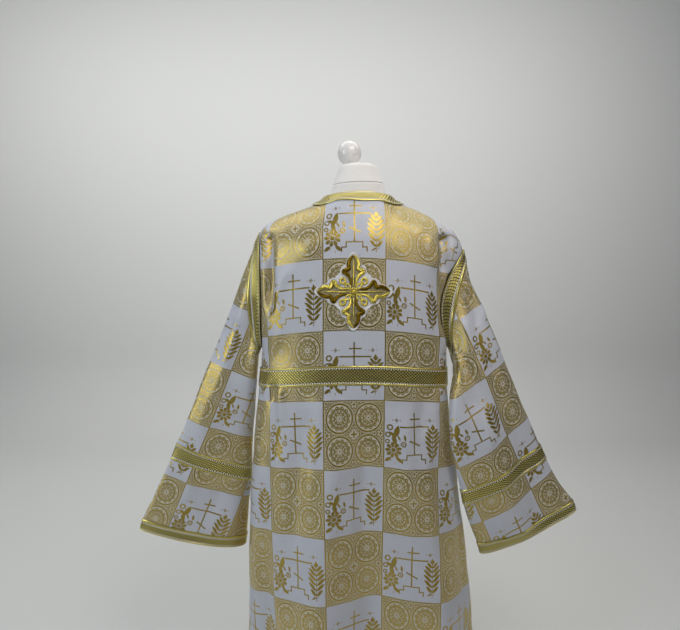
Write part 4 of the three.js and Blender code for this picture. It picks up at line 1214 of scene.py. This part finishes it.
def cross_cords():
    """Every cord of the cross around its middle, each with whether it runs in a ring."""
    ring_line = [
        (RING_MIDDLE + RING_RADIUS * c, RING_MIDDLE + RING_RADIUS * s) for c, s, _ in circle(12)
    ]
    half_arm = laid_cord(ARM, 9.2, 4.2, start_width=0.55)
    repeated = [
        half_arm, mirrored(*half_arm), laid_cord(ring_line, 5.6, 3.3, closed=True, smooth=5),
        laid_cord(LOOP, 4.4, 3.1, smooth=10), laid_cord(SPINE, 3.2, 2.4, smooth=8),
        laid_cord([(z, x) for x, z in LOOP], 4.4, 3.1, smooth=10),
    ]
    cords = [copy for cord in repeated for copy in four_times(*cord)]
    knot = []
    for c, s, turn in circle(32):
        reach = KNOT * (0.78 + 0.22 * abs(math.cos(4 * turn)))
        knot.append((reach * c, reach * s))
    cords.append(laid_cord(knot, 2.6, 3.0, closed=True, smooth=4))
    for t in (0, 45, 90, 135):
        x, z = STRAND * math.cos(math.radians(t)), STRAND * math.sin(math.radians(t))
        cords.append(laid_cord([(-x, -z), (0, 0), (x, z)], 2.6, 3.2 + t * 0.008, smooth=8))
    return cords


def cross_gold():
    """All the cords as one piece, each laid on the robe as it hangs."""
    vertices, faces, spots = [], [], []
    for points, closed in cross_cords():
        base = len(vertices)
        rows, sides = points.shape[:2]
        step = np.linalg.norm(np.diff(points[:, 0], axis=0), axis=-1)
        run = np.concatenate([[0], np.cumsum(step)])
        for dx, dy, dz in points.reshape(-1, 3):
            x, z = CROSS[0] + dx, CROSS[1] + dz
            vertices.append((x * MM, (yoke_y(x, z) - CORD_LIFT + dy) * MM, z * MM))
        for i in range(rows if closed else rows - 1):
            here, above = base + i * sides, base + (i + 1) % rows * sides
            high = run[i + 1] if i + 1 < rows else run[i] + 1
            for j in range(sides):
                nxt = (j + 1) % sides
                faces.append((here + j, above + j, above + nxt, here + nxt))
                for a, b in ((run[i], j), (high, j), (high, j + 1), (run[i], j + 1)):
                    spots.append((a * MM, b / sides))
        if not closed:
            for i in (0, rows - 1):
                loop = [base + i * sides + j for j in range(sides)]
                faces.append(tuple(loop if i == 0 else loop[::-1]))
                spots += [(run[i] * MM, 0.5)] * sides
    obj = cloth_object("cross_gold_cords", vertices, faces, spots)
    obj.data.materials.append(GOLD_CORD)
    make_active(obj)
    edit_all()
    bpy.ops.mesh.normals_make_consistent(inside=False)
    bpy.ops.object.mode_set(mode="OBJECT")
    bpy.ops.object.shade_smooth_by_angle(angle=math.radians(60))
    return obj


dress(cross_ground(), "cross_ground")
dress(cross_gold(), "cross_gold")

# The form and its stand. Rings: height, half width, reach to the back, to the front.
TORSO = [
    (850, 158, 90, 96), (856, 166, 97, 103), (880, 169, 99, 105), (950, 170, 101, 106),
    (1040, 152, 95, 98), (1120, 134, 88, 92), (1210, 152, 97, 108), (1290, 172, 103, 116),
    (1350, 184, 104, 108), (1395, 182, 101, 98), (1425, 170, 94, 84), (1444, 150, 80, 68),
    (1460, 121, 70, 52), (1476, 91, 62, 45), (1494, 76, 55, 47), (1510, 69, 53, 48),
    (1522, 65.6, 52.2, 48.8), (1525.6, 64.8, 51.8, 48.6), (1526.6, 63.6, 50.8, 47.6),
]
NECK_CAP = [
    (1527.4, 62.4, 50.4, 47.4), (1528.6, 63.8, 51.5, 48.5), (1536, 60.8, 49.3, 47.4),
    (1549, 55.4, 45.3, 45.2), (1560, 52.2, 42.6, 44.4), (1567, 50.2, 41, 43.6),
    (1571.5, 48.2, 39.2, 42), (1575, 44.6, 35.4, 39.2), (1577.2, 39, 30, 34), (1578, 30, 22, 26),
]


def lean_ring(degrees, height):
    """Leans the selected ring to one side, about its own height."""
    if abs(degrees) > 1e-4:
        bpy.ops.transform.rotate(value=math.radians(degrees), orient_axis="Y",
                                 orient_type="GLOBAL", center_override=(0, 0, height * MM))


def stack(name, rings, sides=72, lean=None):
    """A closed form drawn up ring by ring. Lean gives heights and how far the rings there lean."""
    deselect_all()
    first = rings[0]
    bpy.ops.mesh.primitive_circle_add(
        vertices=sides, radius=1, fill_type="NGON", location=(0, 0, 0))
    obj = bpy.context.object
    obj.name = obj.data.name = name
    edit_all()
    bpy.ops.transform.resize(value=(first[1] * MM, (first[2] + first[3]) / 2 * MM, 1))
    bpy.ops.transform.translate(value=(0, (first[3] - first[2]) / 2 * MM, first[0] * MM))
    leans = [np.interp(r[0], *lean) if lean else 0 for r in rings]
    lean_ring(leans[0], first[0])
    for before, here, change in zip(rings, rings[1:], np.diff(leans)):
        rise = (0, 0, (here[0] - before[0]) * MM)
        bpy.ops.mesh.extrude_region_move(TRANSFORM_OT_translate={"value": rise})
        centre = (before[3] - before[2]) / 2 * MM
        bpy.ops.transform.resize(
            value=(here[1] / before[1], (here[2] + here[3]) / (before[2] + before[3]), 1),
            center_override=(0, centre, here[0] * MM))
        bpy.ops.transform.translate(value=(0, (here[3] - here[2]) / 2 * MM - centre, 0))
        lean_ring(change, here[0])
    bpy.ops.mesh.select_all(action="SELECT")
    bpy.ops.mesh.normals_make_consistent(inside=False)
    bpy.ops.object.mode_set(mode="OBJECT")
    return obj


def smooth(obj, material, degrees=40):
    """Gives a closed form its material, and smooth shading up to an angle between faces."""
    obj.data.materials.append(material)
    make_active(obj)
    bpy.ops.object.shade_smooth_by_angle(angle=math.radians(degrees))
    deselect_all()
    return obj


torso = stack("form_cover", TORSO, lean=((1505, 1526), (0, 1.9)))
cap = stack("neck_cover", NECK_CAP, lean=((1528, 1566), (1.9, 0)))
dress(smooth(torso, JERSEY), "form_torso")
dress(smooth(cap, JERSEY), "form_neck_cap")

BALL, BALL_RADIUS = (-0.022, 0.013, 1.6096), 0.031
# where its foot starts, from the ball's middle, and the height of the foot's upper face
BALL_FLAT, FOOT_Z = -0.0292, 1.5795


def turned_ball():
    """The ball of the form, with its turned foot, its place in its mesh."""
    deselect_all()
    bpy.ops.mesh.primitive_uv_sphere_add(
        segments=64, ring_count=40, radius=BALL_RADIUS, location=BALL)
    ball = bpy.context.object
    ball.name = ball.data.name = "finial_ball"
    bpy.ops.object.mode_set(mode="EDIT")
    bpy.ops.mesh.select_all(action="DESELECT")
    mesh = bmesh.from_edit_mesh(ball.data)
    for face in mesh.faces:
        face.select = face.calc_center_median().z < BALL_FLAT
    bmesh.update_edit_mesh(ball.data)
    bpy.ops.mesh.extrude_region_move(TRANSFORM_OT_translate={"value": (0, 0, -0.0004)})
    bpy.ops.transform.resize(value=(1.15, 1.15, 0.0), center_override=(*BALL[:2], FOOT_Z))
    bpy.ops.mesh.extrude_region_move(TRANSFORM_OT_translate={"value": (0, 0, -0.0011)})
    bpy.ops.object.mode_set(mode="OBJECT")
    make_active(ball)
    bpy.ops.object.transform_apply(location=True, rotation=True, scale=True)
    return ball


dress(smooth(turned_ball(), PAINT, 50), "form_finial")

POLE = [(16.4, 15.6), (17.6, 16), (60, 16), (400, 16), (800, 16), (848.2, 16), (849.4, 15.6)]
BASE = [
    (0, 186), (0.8, 188.6), (3, 190), (5.4, 189), (7.6, 187), (9, 184.5), (13, 110), (14.8, 64),
    (15.4, 50), (15.8, 36), (16, 33),
]
pole = stack("stand_rod", [(z, r, r, r) for z, r in POLE], 48)
base = stack("stand_plate", [(z, r, r, r) for z, r in BASE], 96)
dress(smooth(pole, PAINT, 50), "stand_pole")
dress(smooth(base, PAINT, 60), "stand_base")

# Stage: a floor that sweeps up into a wall, some lamps and the camera
FLOOR, FLOOR_MIDDLE, SWEEP_RADIUS, SWEEP_STEPS, WALL = (12, 8), -1.9, 0.6, 8, 4.2
deselect_all()
bpy.ops.mesh.primitive_plane_add(size=1, location=(0, 0, 0))
sweep = bpy.context.object
sweep.name = "studio_sweep"
edit_all()
bpy.ops.transform.resize(value=(*FLOOR, 1))
bpy.ops.transform.translate(value=(0, FLOOR_MIDDLE, 0))
bpy.ops.mesh.select_all(action="DESELECT")
mesh = bmesh.from_edit_mesh(sweep.data)
for edge in mesh.edges:
    edge.select = all(v.co.y > 0.8 for v in edge.verts)
bmesh.update_edit_mesh(sweep.data)
for k in range(SWEEP_STEPS):
    before, turn = (math.pi / 2 * step / SWEEP_STEPS for step in (k, k + 1))
    ahead = SWEEP_RADIUS * (math.sin(turn) - math.sin(before))
    upwards = SWEEP_RADIUS * (math.cos(before) - math.cos(turn))
    bpy.ops.mesh.extrude_region_move(TRANSFORM_OT_translate={"value": (0, ahead, upwards)})
bpy.ops.mesh.extrude_region_move(TRANSFORM_OT_translate={"value": (0, 0, WALL)})
bpy.ops.object.mode_set(mode="OBJECT")
backdrop, _, backdrop_shader = new_material("Pale backdrop", Roughness=0.85, Specular_IOR_Level=0.2)
backdrop_shader.inputs["Base Color"].default_value = (0.66, 0.67, 0.66, 1)
smooth(sweep, backdrop, 60)


# name, place, the spot it faces, size, power, colour
LIGHTS = [
    ("lamp", (0.5, -1.15, 2.5), (0.05, -0.1, 1.35), (1.1, 0.7), 14.5, (1, 0.95, 0.91)),
    ("window", (-2.2, -1.6, 1.7), (0, 0, 1.15), (0.7, 1.3), 24, (0.90, 0.955, 1)),
    ("side_lamp", (1.9, -1.6, 1.9), (0.45, 0, 0.95), (0.5, 0.5), 5, (1, 0.91, 0.80)),
    ("ceiling_panel", (0.2, -0.2, 2.9), (0, -0.1, 1.0), (2.4, 1.4), 3, (1, 0.98, 0.96)),
    ("wall_wash", (-0.6, 0.6, 3.2), (-0.5, 2.7, 1.2), (5.5, 0.8), 80, (1, 0.99, 0.97)),
]
for name, place, target, size, power, colour in LIGHTS:
    data = bpy.data.lights.new(name, "AREA")
    data.shape = "RECTANGLE"
    data.size, data.size_y = size
    data.energy, data.color = power, colour
    light = bpy.data.objects.new(name, data)
    light.location = place
    light.visible_camera = False
    light.rotation_euler = (Vector(target) - Vector(place)).to_track_quat("-Z", "Y").to_euler()
    bpy.context.scene.collection.objects.link(light)

world = bpy.data.worlds.new("studio")
bpy.context.scene.world = world
world.use_nodes = True
background = world.node_tree.nodes["Background"]
background.inputs["Color"].default_value = (0.74, 0.82, 0.95, 1)
background.inputs["Strength"].default_value = 0.07

camera = bpy.data.objects.new("camera", bpy.data.cameras.new("camera"))
camera.data.lens, camera.data.sensor_width = 25.2, 36
camera.data.clip_start = 0.05
camera.location = (-0.046, -1.245, 1.324)
camera.rotation_euler = (math.radians(84), 0, 0)
bpy.context.scene.collection.objects.link(camera)
bpy.context.scene.camera = camera
bpy.context.scene.view_settings.view_transform = "Standard"
